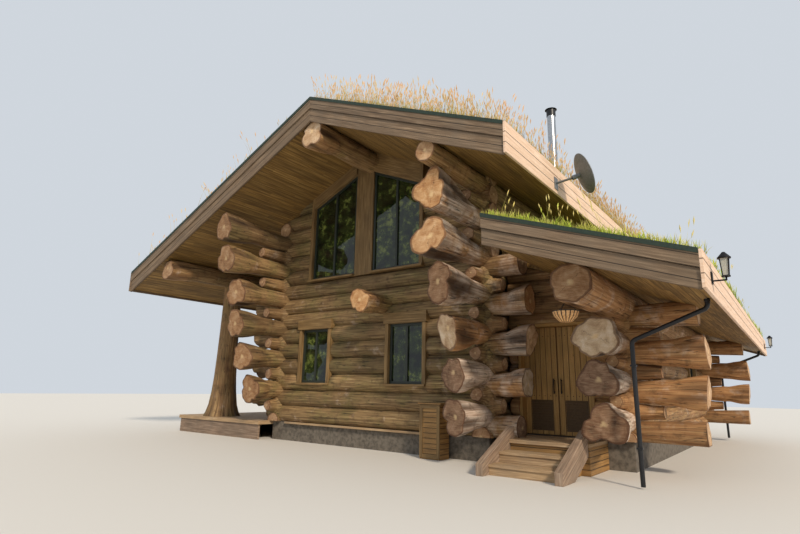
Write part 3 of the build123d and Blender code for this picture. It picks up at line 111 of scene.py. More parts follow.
# Debarked spruce left to weather: streaks along the log, dark drying checks, knots, algae in the shade, and painted
# shade in the creases of its outline.
# The UV runs along the log in metres, then round it. "warm" goes from the grey wall to the tan ends; "pale" whitens
# the flanks, partly as painted sunlight.
def peeledSpruce():
    material, add = newMaterial("peeledSpruce")
    uv, point = (add("TexCoord", output=place) for place in ("UV", "Object"))
    warm, tone, creaseShade, paleShare = (add("Attribute", output="Fac", attribute_name=name)
                                    for name in ("warm", "tone", "rim", "pale"))
    streakPlace = add("Mapping", {"Vector": uv, "Scale": (1.1, 26.0, 1.0)})  # 0.9 m long, 40 mm wide
    streaks = add("TexNoise", {"Vector": streakPlace, "Scale": 1.0, "Detail": 5.0, "Roughness": 0.62,
                               "Distortion": 0.3})
    finePlace = add("Mapping", {"Vector": uv, "Scale": (5.0, 150.0, 1.0)})  # 0.2 m long, 7 mm wide
    fine = add("TexNoise", {"Vector": finePlace, "Scale": 1.0, "Detail": 3.0, "Roughness": 0.6})
    patches = add("TexNoise", {"Vector": point, "Scale": 1.7, "Detail": 4.0, "Roughness": 0.6})
    smudges = add("TexNoise", {"Vector": point, "Scale": 5.5, "Detail": 5.0, "Roughness": 0.65})
    paleNoise = add("TexNoise", {"Vector": point, "Scale": 2.6, "Detail": 4.0, "Roughness": 0.6})
    grey, tan, pale, moss = (add("ValToRGB", {"Fac": streaks}, stops=stops) for stops in (
        [(0.25, "#33291b"), (0.42, "#5f4f33"), (0.58, "#85714b"), (0.8, "#b5a37c")],
        [(0.22, "#6e4526"), (0.4, "#a07147"), (0.58, "#b98b5c"), (0.8, "#d9b488")],
        [(0.27, "#6b513d"), (0.4, "#a78e7a"), (0.55, "#cdb9a6"), (0.75, "#eadfd2")],
        [(0.3, "#45401f"), (0.7, "#8a8048")]))
    # The paleness whitens the flanks; on the sunlit stacks to the right it is partly painted sunlight.
    paleSum = add("Math", {0: paleShare, 1: 0.6, 2: paleNoise}, operation="MULTIPLY_ADD")
    paleMask = add("ValToRGB", {"Fac": paleSum}, stops=[(0.62, 0.0), (0.85, 1.0)])
    mossMask = add("ValToRGB", {"Fac": patches}, stops=[(0.46, 0.0), (0.66, 0.7)])
    lessWarm = add("Math", {0: 1.0, 1: warm}, operation="SUBTRACT")
    mossShare = add("Math", {0: mossMask, 1: lessWarm}, operation="MULTIPLY")
    dirtMask = add("ValToRGB", {"Fac": smudges}, stops=[(0.54, 0.0), (0.72, 0.65)])
    # The rim attribute on the flanks is how deep a crease is; it darkens the crease with #38220f as painted shade.
    creaseShadeMask = add("Math", {0: creaseShade, 1: 0.85}, operation="MULTIPLY")
    knotPlace = add("Mapping", {"Vector": uv, "Scale": (1.6, 4.0, 1.0)})
    knots = add("TexVoronoi", {"Vector": knotPlace, "Scale": 1.0}, "Distance")
    knotMask = add("ValToRGB", {"Fac": knots}, stops=[(0.035, 0.7), (0.1, 0.0)])
    checkPlace = add("Mapping", {"Vector": uv, "Scale": (0.55, 15.0, 1.0), "Location": (3, 7, 0)})  # up to 1.8 m long
    checks = add("TexNoise", {"Vector": checkPlace, "Scale": 1.0, "Detail": 2.0, "Roughness": 0.5, "Distortion": 0.6})
    away = add("Math", {0: checks, 1: 0.5}, operation="SUBTRACT")
    awaySize = add("Math", {0: away}, operation="ABSOLUTE")
    checkLine = add("ValToRGB", {"Fac": awaySize}, stops=[(0.0, 1.0), (0.013, 0.0)])
    checkShare = add("ValToRGB", {"Fac": patches}, stops=[(0.4, 0.0), (0.52, 0.9)])
    crack = add("Math", {0: checkLine, 1: checkShare}, operation="MULTIPLY")
    solid = add("Math", {0: 1.0, 1: crack}, operation="SUBTRACT")
    early = ((warm, tan), (paleMask, pale), (mossShare, moss), (dirtMask, "#4a3220"), (creaseShadeMask, "#38220f"))
    colour = woodColour(add, grey, early, ((knotMask, "#3a2415"), (crack, "#1d140c")), tone, 0.5, 0.74)
    reliefs = ((fine, 0.35, 0.004), (streaks, 0.6, 0.02), (solid, 0.9, 0.015))
    return withShader(material, add, colour, reliefs, 0.78)


# Chainsawn end grain: rings that follow the outline, a drying check through the heart, darker rim.
# The UV is centred on the log's heart in metres, and "rim" goes from 0 at the heart to 1 at the bark line.
def sawnEndGrain():
    material, add = newMaterial("sawnEndGrain")
    uv, point = (add("TexCoord", output=place) for place in ("UV", "Object"))
    warm, tone, rim, paleShare = (add("Attribute", output="Fac", attribute_name=name)
                                 for name in ("warm", "tone", "rim", "pale"))
    wobble = add("TexNoise", {"Vector": uv, "Scale": 5.0, "Detail": 3.0, "Roughness": 0.6})
    ringPlace = add("Math", {0: rim, 1: 70.0}, operation="MULTIPLY")  # some 20 mm apart, coarser than real to show
    ringShift = add("Math", {0: wobble, 1: 40.0, 2: ringPlace}, operation="MULTIPLY_ADD")
    rings = add("Math", {0: ringShift}, operation="SINE")
    ringMask = add("Math", {0: rings, 1: 0.06, 2: 0.06}, operation="MULTIPLY_ADD")
    sawPlace = add("Mapping", {"Vector": uv, "Scale": (6.0, 90.0, 1.0), "Rotation": (0, 0, 0.5)})  # 11 mm apart
    sawMarks = add("TexNoise", {"Vector": sawPlace, "Scale": 1.0, "Detail": 3.0, "Roughness": 0.6})
    sawMask = add("ValToRGB", {"Fac": sawMarks}, stops=[(0.45, 0.0), (0.75, 0.3)])
    blotches = add("TexNoise", {"Vector": point, "Scale": 5.0, "Detail": 6.0, "Roughness": 0.62, "Distortion": 0.5})
    brown, orange, cream = (add("ValToRGB", {"Fac": blotches}, stops=stops) for stops in (
        [(0.28, "#3a261b"), (0.44, "#5f3f2f"), (0.58, "#7c5744"), (0.75, "#9f7f6b")],
        [(0.28, "#85552e"), (0.42, "#ad7b4a"), (0.56, "#c39665"), (0.72, "#dbb88e")],
        [(0.3, "#9a7b5c"), (0.5, "#d9c3a2"), (0.7, "#efe3cd")]))
    rimNoise = add("Math", {0: wobble, 1: 0.16, 2: rim}, operation="MULTIPLY_ADD")
    rimMask = add("ValToRGB", {"Fac": rimNoise}, stops=[(0.96, 0.0), (1.0, 0.7)])
    heart = add("ValToRGB", {"Fac": rimNoise}, stops=[(0.14, 0.65), (0.28, 0.0)])
    sides = add("SeparateXYZ", {0: uv}).node.outputs
    angle = add("Math", {0: sides[1], 1: sides[0]}, operation="ARCTAN2")
    turned = add("Math", {0: tone, 1: 19.0, 2: angle}, operation="MULTIPLY_ADD")
    bent = add("Math", {0: wobble, 1: 1.6, 2: turned}, operation="MULTIPLY_ADD")
    across = add("Math", {0: bent}, operation="SINE")
    acrossSize = add("Math", {0: across}, operation="ABSOLUTE")
    crackLine = add("ValToRGB", {"Fac": acrossSize}, stops=[(0.0, 1.0), (0.035, 0.0)])
    crackShare = add("ValToRGB", {"Fac": rim}, stops=[(0.45, 0.75), (0.8, 0.0)])
    crack = add("Math", {0: crackLine, 1: crackShare}, operation="MULTIPLY")
    layers = ((warm, orange), (paleShare, cream), (ringMask, "#5a3216"), (sawMask, "#f0d3a8"), (rimMask, "#5b3820"),
              (heart, "#e6c795"), (crack, "#2a160a"))
    colour = woodColour(add, brown, layers, (), tone, 0.5, 0.64)
    return withShader(material, add, colour, ((sawMarks, 0.5, 0.006), (blotches, 0.6, 0.02)), 0.85)


# Sawn boards: grain along the UV's first axis, a tone of its own for each board, knots and grey weathering.
# "plank" is the width in metres of the planks that one board of the CAD stands for.
def sawnBoards(name, codes, toneSpread, wear, roughness, knotSize, stain, plank=0.0):
    material, add = newMaterial(name)
    uv, point = (add("TexCoord", output=place) for place in ("UV", "Object"))
    tone = add("Attribute", output="Fac", attribute_name="tone")
    lines = reliefs = ()
    if plank:
        across = add("SeparateXYZ", {0: uv}).node.outputs[1]
        place = add("Math", {0: across, 1: plank}, operation="DIVIDE")
        edge = 0.5 - 0.005 / plank
        board, line, solid = boardLines(add, place, edge - 0.012, edge, 0.9)
        key = add("Math", {0: tone, 1: 57.0, 2: board}, operation="MULTIPLY_ADD")
        tone = add("TexWhiteNoise", {"W": key}, noise_dimensions="1D")
        slide = add("Math", {0: tone, 1: 23.0}, operation="MULTIPLY")
        shift = add("CombineXYZ", {0: slide, 1: slide})
        uv = add("VectorMath", {0: uv, 1: shift}, operation="ADD")
        lines = ((line, "#20160d"),)
        reliefs = ((solid, 0.8, 0.006),)
    grainPlace = add("Mapping", {"Vector": uv, "Scale": (1.6, 34.0, 1.0)})  # 0.6 m long, 30 mm wide
    grain = add("TexNoise", {"Vector": grainPlace, "Scale": 1.0, "Detail": 5.0, "Roughness": 0.6, "Distortion": 0.5})
    finePlace = add("Mapping", {"Vector": uv, "Scale": (8.0, 260.0, 1.0)})  # 4 mm wide
    fine = add("TexNoise", {"Vector": finePlace, "Scale": 1.0, "Detail": 2.0})
    patches = add("TexNoise", {"Vector": point, "Scale": 2.2, "Detail": 5.0, "Roughness": 0.6})
    colour = add("ValToRGB", {"Fac": grain}, stops=zip((0.25, 0.5, 0.75), codes))
    wornMask = add("ValToRGB", {"Fac": patches}, stops=[(0.42, 0.0), (0.68, wear)])
    knotPlace = add("Mapping", {"Vector": uv, "Scale": (2.4, 7.0, 1.0)})
    knots = add("TexVoronoi", {"Vector": knotPlace, "Scale": 1.0}, "Distance")
    knotMask = add("ValToRGB", {"Fac": knots}, stops=[(knotSize * 0.6, 0.75), (knotSize * 1.3, 0.0)])
    colour = woodColour(add, colour, ((wornMask, stain),), ((knotMask, "#3a2011"),) + lines, tone, toneSpread,
                        1.0 - toneSpread / 2)
    reliefs = ((grain, 0.35, 0.004),) + reliefs + ((fine, 0.3, 0.001),)
    return withShader(material, add, colour, reliefs, roughness)


# Tongue-and-groove lining under the roof: 120 mm boards that run front to back, each with its own tone
def soffitLining():
    material, add = newMaterial("soffitLining")
    point = add("TexCoord", output="Object")
    parts = add("SeparateXYZ", {0: point}).node.outputs
    place = add("Math", {0: parts[0], 1: 0.12}, operation="DIVIDE")
    board, line, solid = boardLines(add, place, 0.45, 0.49, 0.85)
    offset = add("Math", {0: board, 1: 0.37}, operation="MULTIPLY")
    stretch = add("Math", {0: parts[1], 1: 0.42, 2: offset}, operation="MULTIPLY_ADD")
    lengthwise = add("Math", {0: stretch}, operation="FLOOR")
    key = add("CombineXYZ", {0: board, 1: lengthwise})
    tone = add("TexWhiteNoise", {"Vector": key}, noise_dimensions="3D")
    slide = add("Math", {0: tone, 1: 9.0}, operation="MULTIPLY")
    shift = add("CombineXYZ", {1: slide, 2: board})
    shifted = add("VectorMath", {0: point, 1: shift}, operation="ADD")
    grainPlace = add("Mapping", {"Vector": shifted, "Scale": (30.0, 1.3, 12.0)})
    grain = add("TexNoise", {"Vector": grainPlace, "Scale": 1.0, "Detail": 5.0, "Distortion": 0.4})
    colour = add("ValToRGB", {"Fac": grain}, stops=[(0.25, "#5a4220"), (0.5, "#836432"), (0.75, "#ab8a50")])
    colour = woodColour(add, colour, (), ((line, "#241809"),), tone, 0.45, 0.78)
    return withShader(material, add, colour, ((solid, 0.8, 0.008), (grain, 0.3, 0.003)), 0.7)


# Painted, cast or sheet surfaces: a colour faintly mottled with a second one, and a shallow bump
def coatedSurface(name, code, spots, roughness, metallic, scale, bump, **values):
    material, add = newMaterial(name)
    point = add("TexCoord", output="Object")
    mottled = add("TexNoise", {"Vector": point, "Scale": scale, "Detail": 4.0, "Roughness": 0.6})
    mask = add("ValToRGB", {"Fac": mottled}, stops=[(0.4, 0.0), (0.7, 1.0)])
    colour = add("Mix", {0: mask, 6: code, 7: spots}, 2, data_type="RGBA")
    return withShader(material, add, colour, ((mottled, bump, 0.002),), roughness, metallic, **values)


# Hanging basket: upright willow slats over a dark liner, told apart by the angle round the bowl's middle
basket = {"middle": (5.3, -1.5, 2.585), "slats": 18}


def basketSlats(look):
    material, add = newMaterial("willowSlats")
    point = add("TexCoord", output="Object")
    away = add("VectorMath", {0: point, 1: look["middle"]}, operation="SUBTRACT")
    parts = add("SeparateXYZ", {0: away}).node.outputs
    angle = add("Math", {0: parts[1], 1: parts[0]}, operation="ARCTAN2")
    turned = add("Math", {0: angle, 1: look["slats"] / 2}, operation="MULTIPLY")
    wave = add("Math", {0: turned}, operation="COSINE")
    size = add("Math", {0: wave}, operation="ABSOLUTE")
    slat = add("ValToRGB", {"Fac": size}, stops=[(0.35, 0.0), (0.45, 1.0)])
    rim = add("ValToRGB", {"Fac": parts[2]}, stops=[(0.0, 1.0), (0.004, 0.0)])
    grain = add("TexNoise", {"Vector": point, "Scale": 40.0, "Detail": 4.0})
    wood = add("ValToRGB", {"Fac": grain}, stops=[(0.3, "#b07a42"), (0.6, "#e0b27a")])
    colour = add("Mix", {0: slat, 6: "#2a1c10", 7: wood}, 2, data_type="RGBA")
    colour = add("Mix", {0: rim, 6: "#1d1b1a", 7: colour}, 2, data_type="RGBA")
    return withShader(material, add, colour, ((slat, 0.6, 0.008),), 0.7)


# Double glazing: a dark colour as painted shade of the unlit rooms behind, mottled with green as a painted reflection
# of trees, and the slight waves that break a reflection
def clearPane():
    material, add = newMaterial("clearGlass")
    point = add("TexCoord", output="Object")
    waves = add("TexNoise", {"Vector": point, "Scale": 2.5, "Detail": 2.0})
    mottled = add("TexNoise", {"Vector": point, "Scale": 3.5, "Detail": 7.0, "Roughness": 0.75})
    # The dark is painted shade of the rooms; the green mottles are a painted reflection of trees.
    tint = add("ValToRGB", {"Fac": mottled}, stops=[(0.42, "#12170f"), (0.54, "#34421f"), (0.7, "#95a052")])
    return withShader(material, add, tint, ((waves, 0.08, 0.02),), 0.02, Transmission_Weight=0.35, IOR=1.52)


# Turf: matted roots and old stems between the tufts
def mattedTurf(name, codes):
    material, add = newMaterial(name)
    point = add("TexCoord", output="Object")
    clumps = add("TexNoise", {"Vector": point, "Scale": 14.0, "Detail": 6.0, "Roughness": 0.7})  # 70 mm
    colour = add("ValToRGB", {"Fac": clumps}, stops=zip((0.3, 0.5, 0.7), codes))
    return withShader(material, add, colour, ((clumps, 0.9, 0.05),), 0.95)


# Grass blades: "tone" goes from the root to the seed head, and "dry" differs from tuft to tuft
def grassBlades(name, fresh, dried):
    material, add = newMaterial(name)
    point = add("TexCoord", output="Object")
    tone, dry = (add("Attribute", output="Fac", attribute_name=name) for name in ("tone", "dry"))
    patches = add("TexNoise", {"Vector": point, "Scale": 0.9, "Detail": 3.0})
    share = add("Math", {0: dry, 1: patches}, operation="ADD")
    shareMask = add("ValToRGB", {"Fac": share}, stops=[(0.75, 0.0), (1.0, 1.0)])
    green, straw = (add("ValToRGB", {"Fac": tone}, stops=stops) for stops in (fresh, dried))
    colour = add("Mix", {0: shareMask, 6: green, 7: straw}, 2, data_type="RGBA")
    return withShader(material, add, colour, (), 0.75)


# Boards by finish: name, colours from the dark to the light grain, spread of tone, wear, roughness, size of the
# knots, colour of the wear, and width of the planks
boardLooks = {
    "greyBoards": ("weatheredLarchBoards", ("#5a493a", "#8b7460", "#b5a08a"), 0.3, 0.5, 0.8, 0.04, "#6b5f50"),
    "brownBoards": ("oiledPineBoards", ("#4d391d", "#7a5f37", "#a3875b"), 0.3, 0.35, 0.7, 0.05, "#5d4a2c"),
    "doorBoards": ("oiledPineDoor", ("#86602f", "#ad8449", "#cba366"), 0.22, 0.3, 0.7, 0.1, "#7d7046"),
    "deckBoards": ("weatheredPineDeck", ("#7d6449", "#a98c68", "#cfb58f"), 0.25, 0.4, 0.8, 0.05, "#8b7a66"),
    "bargePlanks": ("weatheredLarchPlanks", ("#463829", "#725e49", "#9d876d"), 0.25, 0.45, 0.8, 0.03, "#6b5f50",
                    0.15),
    "newPlanks": ("freshLarchPlanks", ("#c8a284", "#e6c6aa", "#f8e3d0"), 0.12, 0.1, 0.7, 0.025, "#c9a688", 0.187),
    "doorPlanks": ("oiledPinePlanks", ("#86602f", "#ad8449", "#cba366"), 0.22, 0.3, 0.7, 0.1, "#7d7046", 0.115),
    "cabinetBoards": ("stainedPineBoards", ("#6a4c28", "#95703f", "#b98f58"), 0.25, 0.3, 0.7, 0.05, "#6a5634", 0.1),
}

# Coated surfaces by finish: name, colour, colour of the spots, roughness, metallic, scale of the spots, bump
coatedLooks = {
    "greenPaint": ("darkGreenPaint", "#20261f", "#2b3229", 0.5, 0.0, 40.0, 0.15),  # brushed on, nearly black
    "greenMetal": ("darkGreenSheet", "#1b2b20", "#27382b", 0.6, 0.0, 30.0, 0.15),  # dull folded sheet
    "stone": ("roughConcrete", "#6f675c", "#48423a", 0.9, 0.0, 12.0, 0.6),  # damp stains a hand wide
    "louvre": ("darkStainedSlats", "#5d4629", "#463219", 0.7, 0.0, 60.0, 0.4),  # stain gone patchy
    "iron": ("blackIron", "#17171a", "#232326", 0.55, 0.6, 90.0, 0.4),  # forged, with a fine hammered grain
    "steel": ("stainlessFlue", "#b9bbbd", "#9c9ea0", 0.28, 1.0, 20.0, 0.05),  # bright, a little sooted
    "blackSheet": ("blackPaintedSteel", "#141517", "#1e1f22", 0.38, 0.2, 50.0, 0.1),  # smooth paint with a sheen
    "dishGrey": ("greyPaintedSteel", "#7b7f83", "#66696c", 0.5, 0.2, 25.0, 0.1),  # chalky powder coat
}

materials = {
    "logSide": peeledSpruce(),
    "logEnd": sawnEndGrain(),
    "soffit": soffitLining(),
    "glass": clearPane(),
    "lampGlass": coatedSurface("frostedGlass", "#c9c9bd", "#b4b4a6", 0.25, 0.0, 20.0, 0.05, Transmission_Weight=0.3),
    "slats": basketSlats(basket),
    "roofTurf": mattedTurf("roofTurf", ("#4c4420", "#85783c", "#b5a660")),
    "leanTurf": mattedTurf("youngTurf", ("#4c5a1c", "#869a2e", "#b9c456")),
    "roofGrass": grassBlades("meadowGrass", [(0.0, "#5f6426"), (0.5, "#a3a04a"), (0.8, "#d0c07e"), (1.0, "#d9c094")],
                             [(0.0, "#857338"), (0.5, "#c9ad69"), (0.8, "#dcbf8c"), (1.0, "#dab48c")]),
    "leanGrass": grassBlades("youngGrass", [(0.0, "#66801c"), (0.5, "#a3b82e"), (1.0, "#d2d864")],
                             [(0.0, "#7f8a2a"), (0.5, "#b9b74a"), (1.0, "#e0cf88")]),
    **{finish: sawnBoards(*look) for finish, look in boardLooks.items()},
    **{finish: coatedSurface(*look) for finish, look in coatedLooks.items()},
}
print("stage: materials ready,", len(materials))

# CAD nodes that show their own mesh
nodeFinish = {
    "soffit": ("roof_deck_left", "roof_deck_right", "leanto_roof_deck"), "greenMetal": ("drip_edges",),
    "greenPaint": ("window_frames",), "glass": ("window_glass",), "lampGlass": ("lantern_glass",),
    "stone": ("plinth",), "deckBoards": ("main_floor", "leanto_floor"), "slats": ("hanging_basket",),
    "roofTurf": ("turf_left", "turf_right"), "leanTurf": ("leanto_turf",),
    "louvre": ("door_left_louvre", "door_right_louvre"),
    "iron": ("door_left_handles", "door_right_handles", "door_hinges", "lantern_frames"), "steel": ("flue",),
    "blackSheet": ("flue_cap", "downpipes"), "dishGrey": ("satellite_dish", "dish_arm"),
}
for finish, names in nodeFinish.items():
    for nodeName in names:
        mesh = nodes[nodeName].data
        mesh.materials.clear()
        mesh.materials.append(materials[finish])

# Camera at the photograph's place: 519.9 px of focal length in a frame 800 px wide
camera = {"pitch": radians(13.08), "yaw": radians(37.17), "roll": radians(1.11), "place": (8.135, -9.601, 1.369),
          "focalPx": 519.9, "widthPx": 800, "sensor": 36.0, "clipEnd": 200.0}


def makeCamera(c):
    forward = Vector((-sin(c["yaw"]) * cos(c["pitch"]), cos(c["yaw"]) * cos(c["pitch"]), sin(c["pitch"])))
    level = Vector((cos(c["yaw"]), sin(c["yaw"]), 0))
    right = level * cos(c["roll"]) + level.cross(forward) * sin(c["roll"])
    data = bpy.data.cameras.new("photoView")
    data.sensor_width = c["sensor"]
    data.sensor_fit = "HORIZONTAL"
    data.lens = c["focalPx"] / c["widthPx"] * c["sensor"]
    data.clip_end = c["clipEnd"]
    holder = bpy.data.objects.new("photoView", data)
    turn = Matrix((right, right.cross(forward), -forward)).transposed().to_4x4()
    holder.matrix_world = Matrix.Translation(c["place"]) @ turn
    scene.collection.objects.link(holder)
    scene.camera = holder


makeCamera(camera)


# A mesh that gathers points, faces, UVs, and the values its materials read
class Pile:
    def __init__(self):
        self.points = []
        self.faces = []
        self.uvs = []
        self.slots = []
        self.values = {"tone": [], "warm": [], "rim": [], "pale": []}

    def addPoint(self, place, tone=0.5, warm=0.5, rim=0.0, pale=0.0):
        self.points.append(tuple(place))
        for key, value in zip(self.values, (tone, warm, rim, pale)):
            self.values[key].append(value)
        return len(self.points) - 1

    def addFace(self, corners, uvs, slot=0):
        self.faces.append(tuple(corners))
        self.uvs.extend(uvs)
        self.slots.append(slot)

    def make(self, name, body, finishes, replaced=(), smooth=True):
        mesh = bpy.data.meshes.new(name)
        mesh.from_pydata(self.points, [], self.faces)
        layer = mesh.uv_layers.new(name="UVMap")
        layer.data.foreach_set("uv", [c for uv in self.uvs for c in uv])
        for key, numbers in self.values.items():
            mesh.attributes.new(key, "FLOAT", "POINT").data.foreach_set("value", numbers)
        mesh.polygons.foreach_set("material_index", self.slots)
        mesh.polygons.foreach_set("use_smooth", [smooth] * len(self.faces))
        for finish in finishes:
            mesh.materials.append(materials[finish])
        mesh.validate()
        piece = bpy.data.objects.new(name, mesh)
        scene.collection.objects.link(piece)
        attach(piece, body)
        if replaced:
            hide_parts(*replaced)


# Logs. Values are in metres and follow the part's own walls. Rows are counted from the lowest, a stub is a plain
# end, a butt a rooty one, and a tint is the warmth and paleness of a log between its ends.
wall = {"half": 3.08, "length": 9.4, "radius": 0.215, "pitch": 0.4, "base": 0.465, "plate": 13, "fullRows": 9,
        "stub": 0.26, "topHalf": 2.6, "topStub": 0.05, "under": 0.4,
        "plateReach": 2.24, "leftPlateReach": 0.23, "backButt": 1.05, "backTop": 0.48, "backSwell": 0.52,
        "sideRoot": (0.13, 0.24), "crossRoot": (0.08, 0.215), "topNarrow": 0.085, "room": 0.02, "tint": (0.15, 0.0),
        "gableTint": (0.2, 0.0)}
lean = {"x": 5.55, "front": 0.75, "radius": 0.19, "pitch": 0.345, "base": 0.515, "plate": 7, "plateRadius": 0.31,
        "rows": 10, "upperEnds": {7: 5.51, 8: 5.2, 9: 4.7}, "stub": 0.02, "plateFront": 2.7, "plateSwell": 1.6,
        "plateBack": 2.0, "plateRoots": ((0.02, 0.0, 0.31), (-0.04, 0.02, 0.29)), "backButt": 1.0,
        "root": (0.1, 0.21), "topNarrow": 0.08, "room": 0.042, "sideTint": (0.6, 0.1), "crossTint": (0.6, 0.05)}
roof = {"top": 7.79, "slope": 0.44, "depth": 0.52, "leanTop": 3.13, "leanSlope": 0.342, "leanEave": 7.36,
        "leanDepth": 0.46}
windows = {"width": 0.94, "casing": 0.095, "rows": (3, 4, 5), "sillRow": 2, "side": (2.3, 7.1),
           "front": (-1.68, 1.195), "sideSill": 1.255, "frontSill": 1.405, "leanSill": 1.235}
passages = {"inner": (3.0, 5.0), "door": (3.52, 5.02), "headRow": 6, "head": 2.7,
            "gable": (-2.025, 1.655), "gableEnd": 4.0, "gableSill": 4.065}
logLook = {"around": 48, "step": 0.42, "shoulder": 0.235, "wobble": 0.013, "flute": 0.05, "clear": 0.04,
           "swell": 1.9, "blend": 0.45, "worn": 0.008, "plain": (0.3, 0.4, 0.0), "narrowAtOnce": 0.6,
           "roomRun": 0.15, "rootAtOnce": 0.9, "rootStep": 0.03, "shiftAtOnce": 0.05, "creaseShadeSpan": 4,
           "creaseShadeGain": 5, "creaseShadeFrom": 0.15, "saw": 0.006, "dish": 0.012,
           "flareShares": (0.0, 0.1, 0.22, 0.36, 0.5, 0.64, 0.77, 0.88, 0.96),
           "faceShares": (1, 0.965, 0.8, 0.6, 0.4, 0.2)}
# The run of a notch that spans every log, and a level above every opening
wholeRun = (-9, 20)
sky = 9
roofCos = 1 / sqrt(1 + roof["slope"] ** 2)
leanCos = 1 / sqrt(1 + roof["leanSlope"] ** 2)
ridge = {"radius": 0.27}
purlin = {"x": -5.65, "radius": 0.24}


def soffitAt(x):
    return roof["top"] - roof["slope"] * abs(x) - roof["depth"]


def leanSoffitAt(x):
    return roof["leanTop"] + roof["leanSlope"] * (roof["leanEave"] - x) - roof["leanDepth"]


plateLevel = soffitAt(wall["half"]) - wall["radius"] / roofCos
leanPlateLevel = leanSoffitAt(lean["x"]) - lean["plateRadius"] / leanCos
ridgeLevel = soffitAt(0) - ridge["radius"] / roofCos
purlinLevel = soffitAt(purlin["x"]) - purlin["radius"] / roofCos


# The level of a row: side logs stand half a course below the crossing logs
def sideLevel(row, walls=wall):
    return walls["base"] + walls["pitch"] * row


def crossLevel(row, walls=wall):
    return walls["base"] + walls["pitch"] * (row + 0.5)


# An end past its corner. Roots are circles at the sawn face: offset aside, offset up, radius.
# The face has a warmth, a tone and a paleness; the flank has a warmth and a paleness, set higher on the stacks to the
# right as painted sunlight.
def endOf(reach, start=logLook["shoulder"], roots=(), narrow=0.0, tilt=(0.0, 0.0), face=(0.5, 0.5, 0.1),
          flank=(0.5, 0.1), room=0.0):
    return {"reach": reach, "start": start, "roots": roots, "narrow": narrow, "tilt": tilt, "face": face,
            "flank": flank, "room": room}


def roundRoots(turn, spread, radius):
    return tuple((spread * cos(turn + i * 2 * pi / 3), spread * sin(turn + i * 2 * pi / 3), radius) for i in range(3))


# How far out the surface lies: the log itself, or the root that the ray leaves last
def outlineAt(end, distance, angle, radius):
    share = min(max((distance - end["start"]) / max(end["reach"] - end["start"], 0.01), 0.0), 1.0)
    if end["narrow"]:
        atOnce = logLook["narrowAtOnce"]
        return radius - (end["narrow"] * (atOnce + (1 - atOnce) * share) if distance > end["start"] else 0.0), share
    out = radius + end["room"] * min(max(distance - logLook["shoulder"], 0.0) / logLook["roomRun"], 1.0)
    atOnce = logLook["shiftAtOnce"]
    share = 1 - (1 - share) ** logLook["swell"]
    for index, (aside, up, size) in enumerate(end["roots"]):
        grown = radius * (logLook["rootAtOnce"] - logLook["rootStep"] * index) * (1 - share) + size * share
        shift = atOnce + (1 - atOnce) * share
        along = shift * (aside * cos(angle) + up * sin(angle))
        inside = grown ** 2 - shift ** 2 * (aside ** 2 + up ** 2) + along ** 2
        if inside > 0:
            out = max(out, along + sqrt(inside))
    return out, share


# Splits a stretch of log where windows, doors or passages cut it
def splitRun(first, last, cuts):
    pieces = [(first, last)]
    for u0, u1 in cuts:
        kept = []
        for a, b in pieces:
            if u1 <= a or u0 >= b:
                kept.append((a, b))
                continue
            kept += [part for part in ((a, u0), (u1, b)) if part[1] > part[0] + 0.02]
        pieces = kept
    return pieces


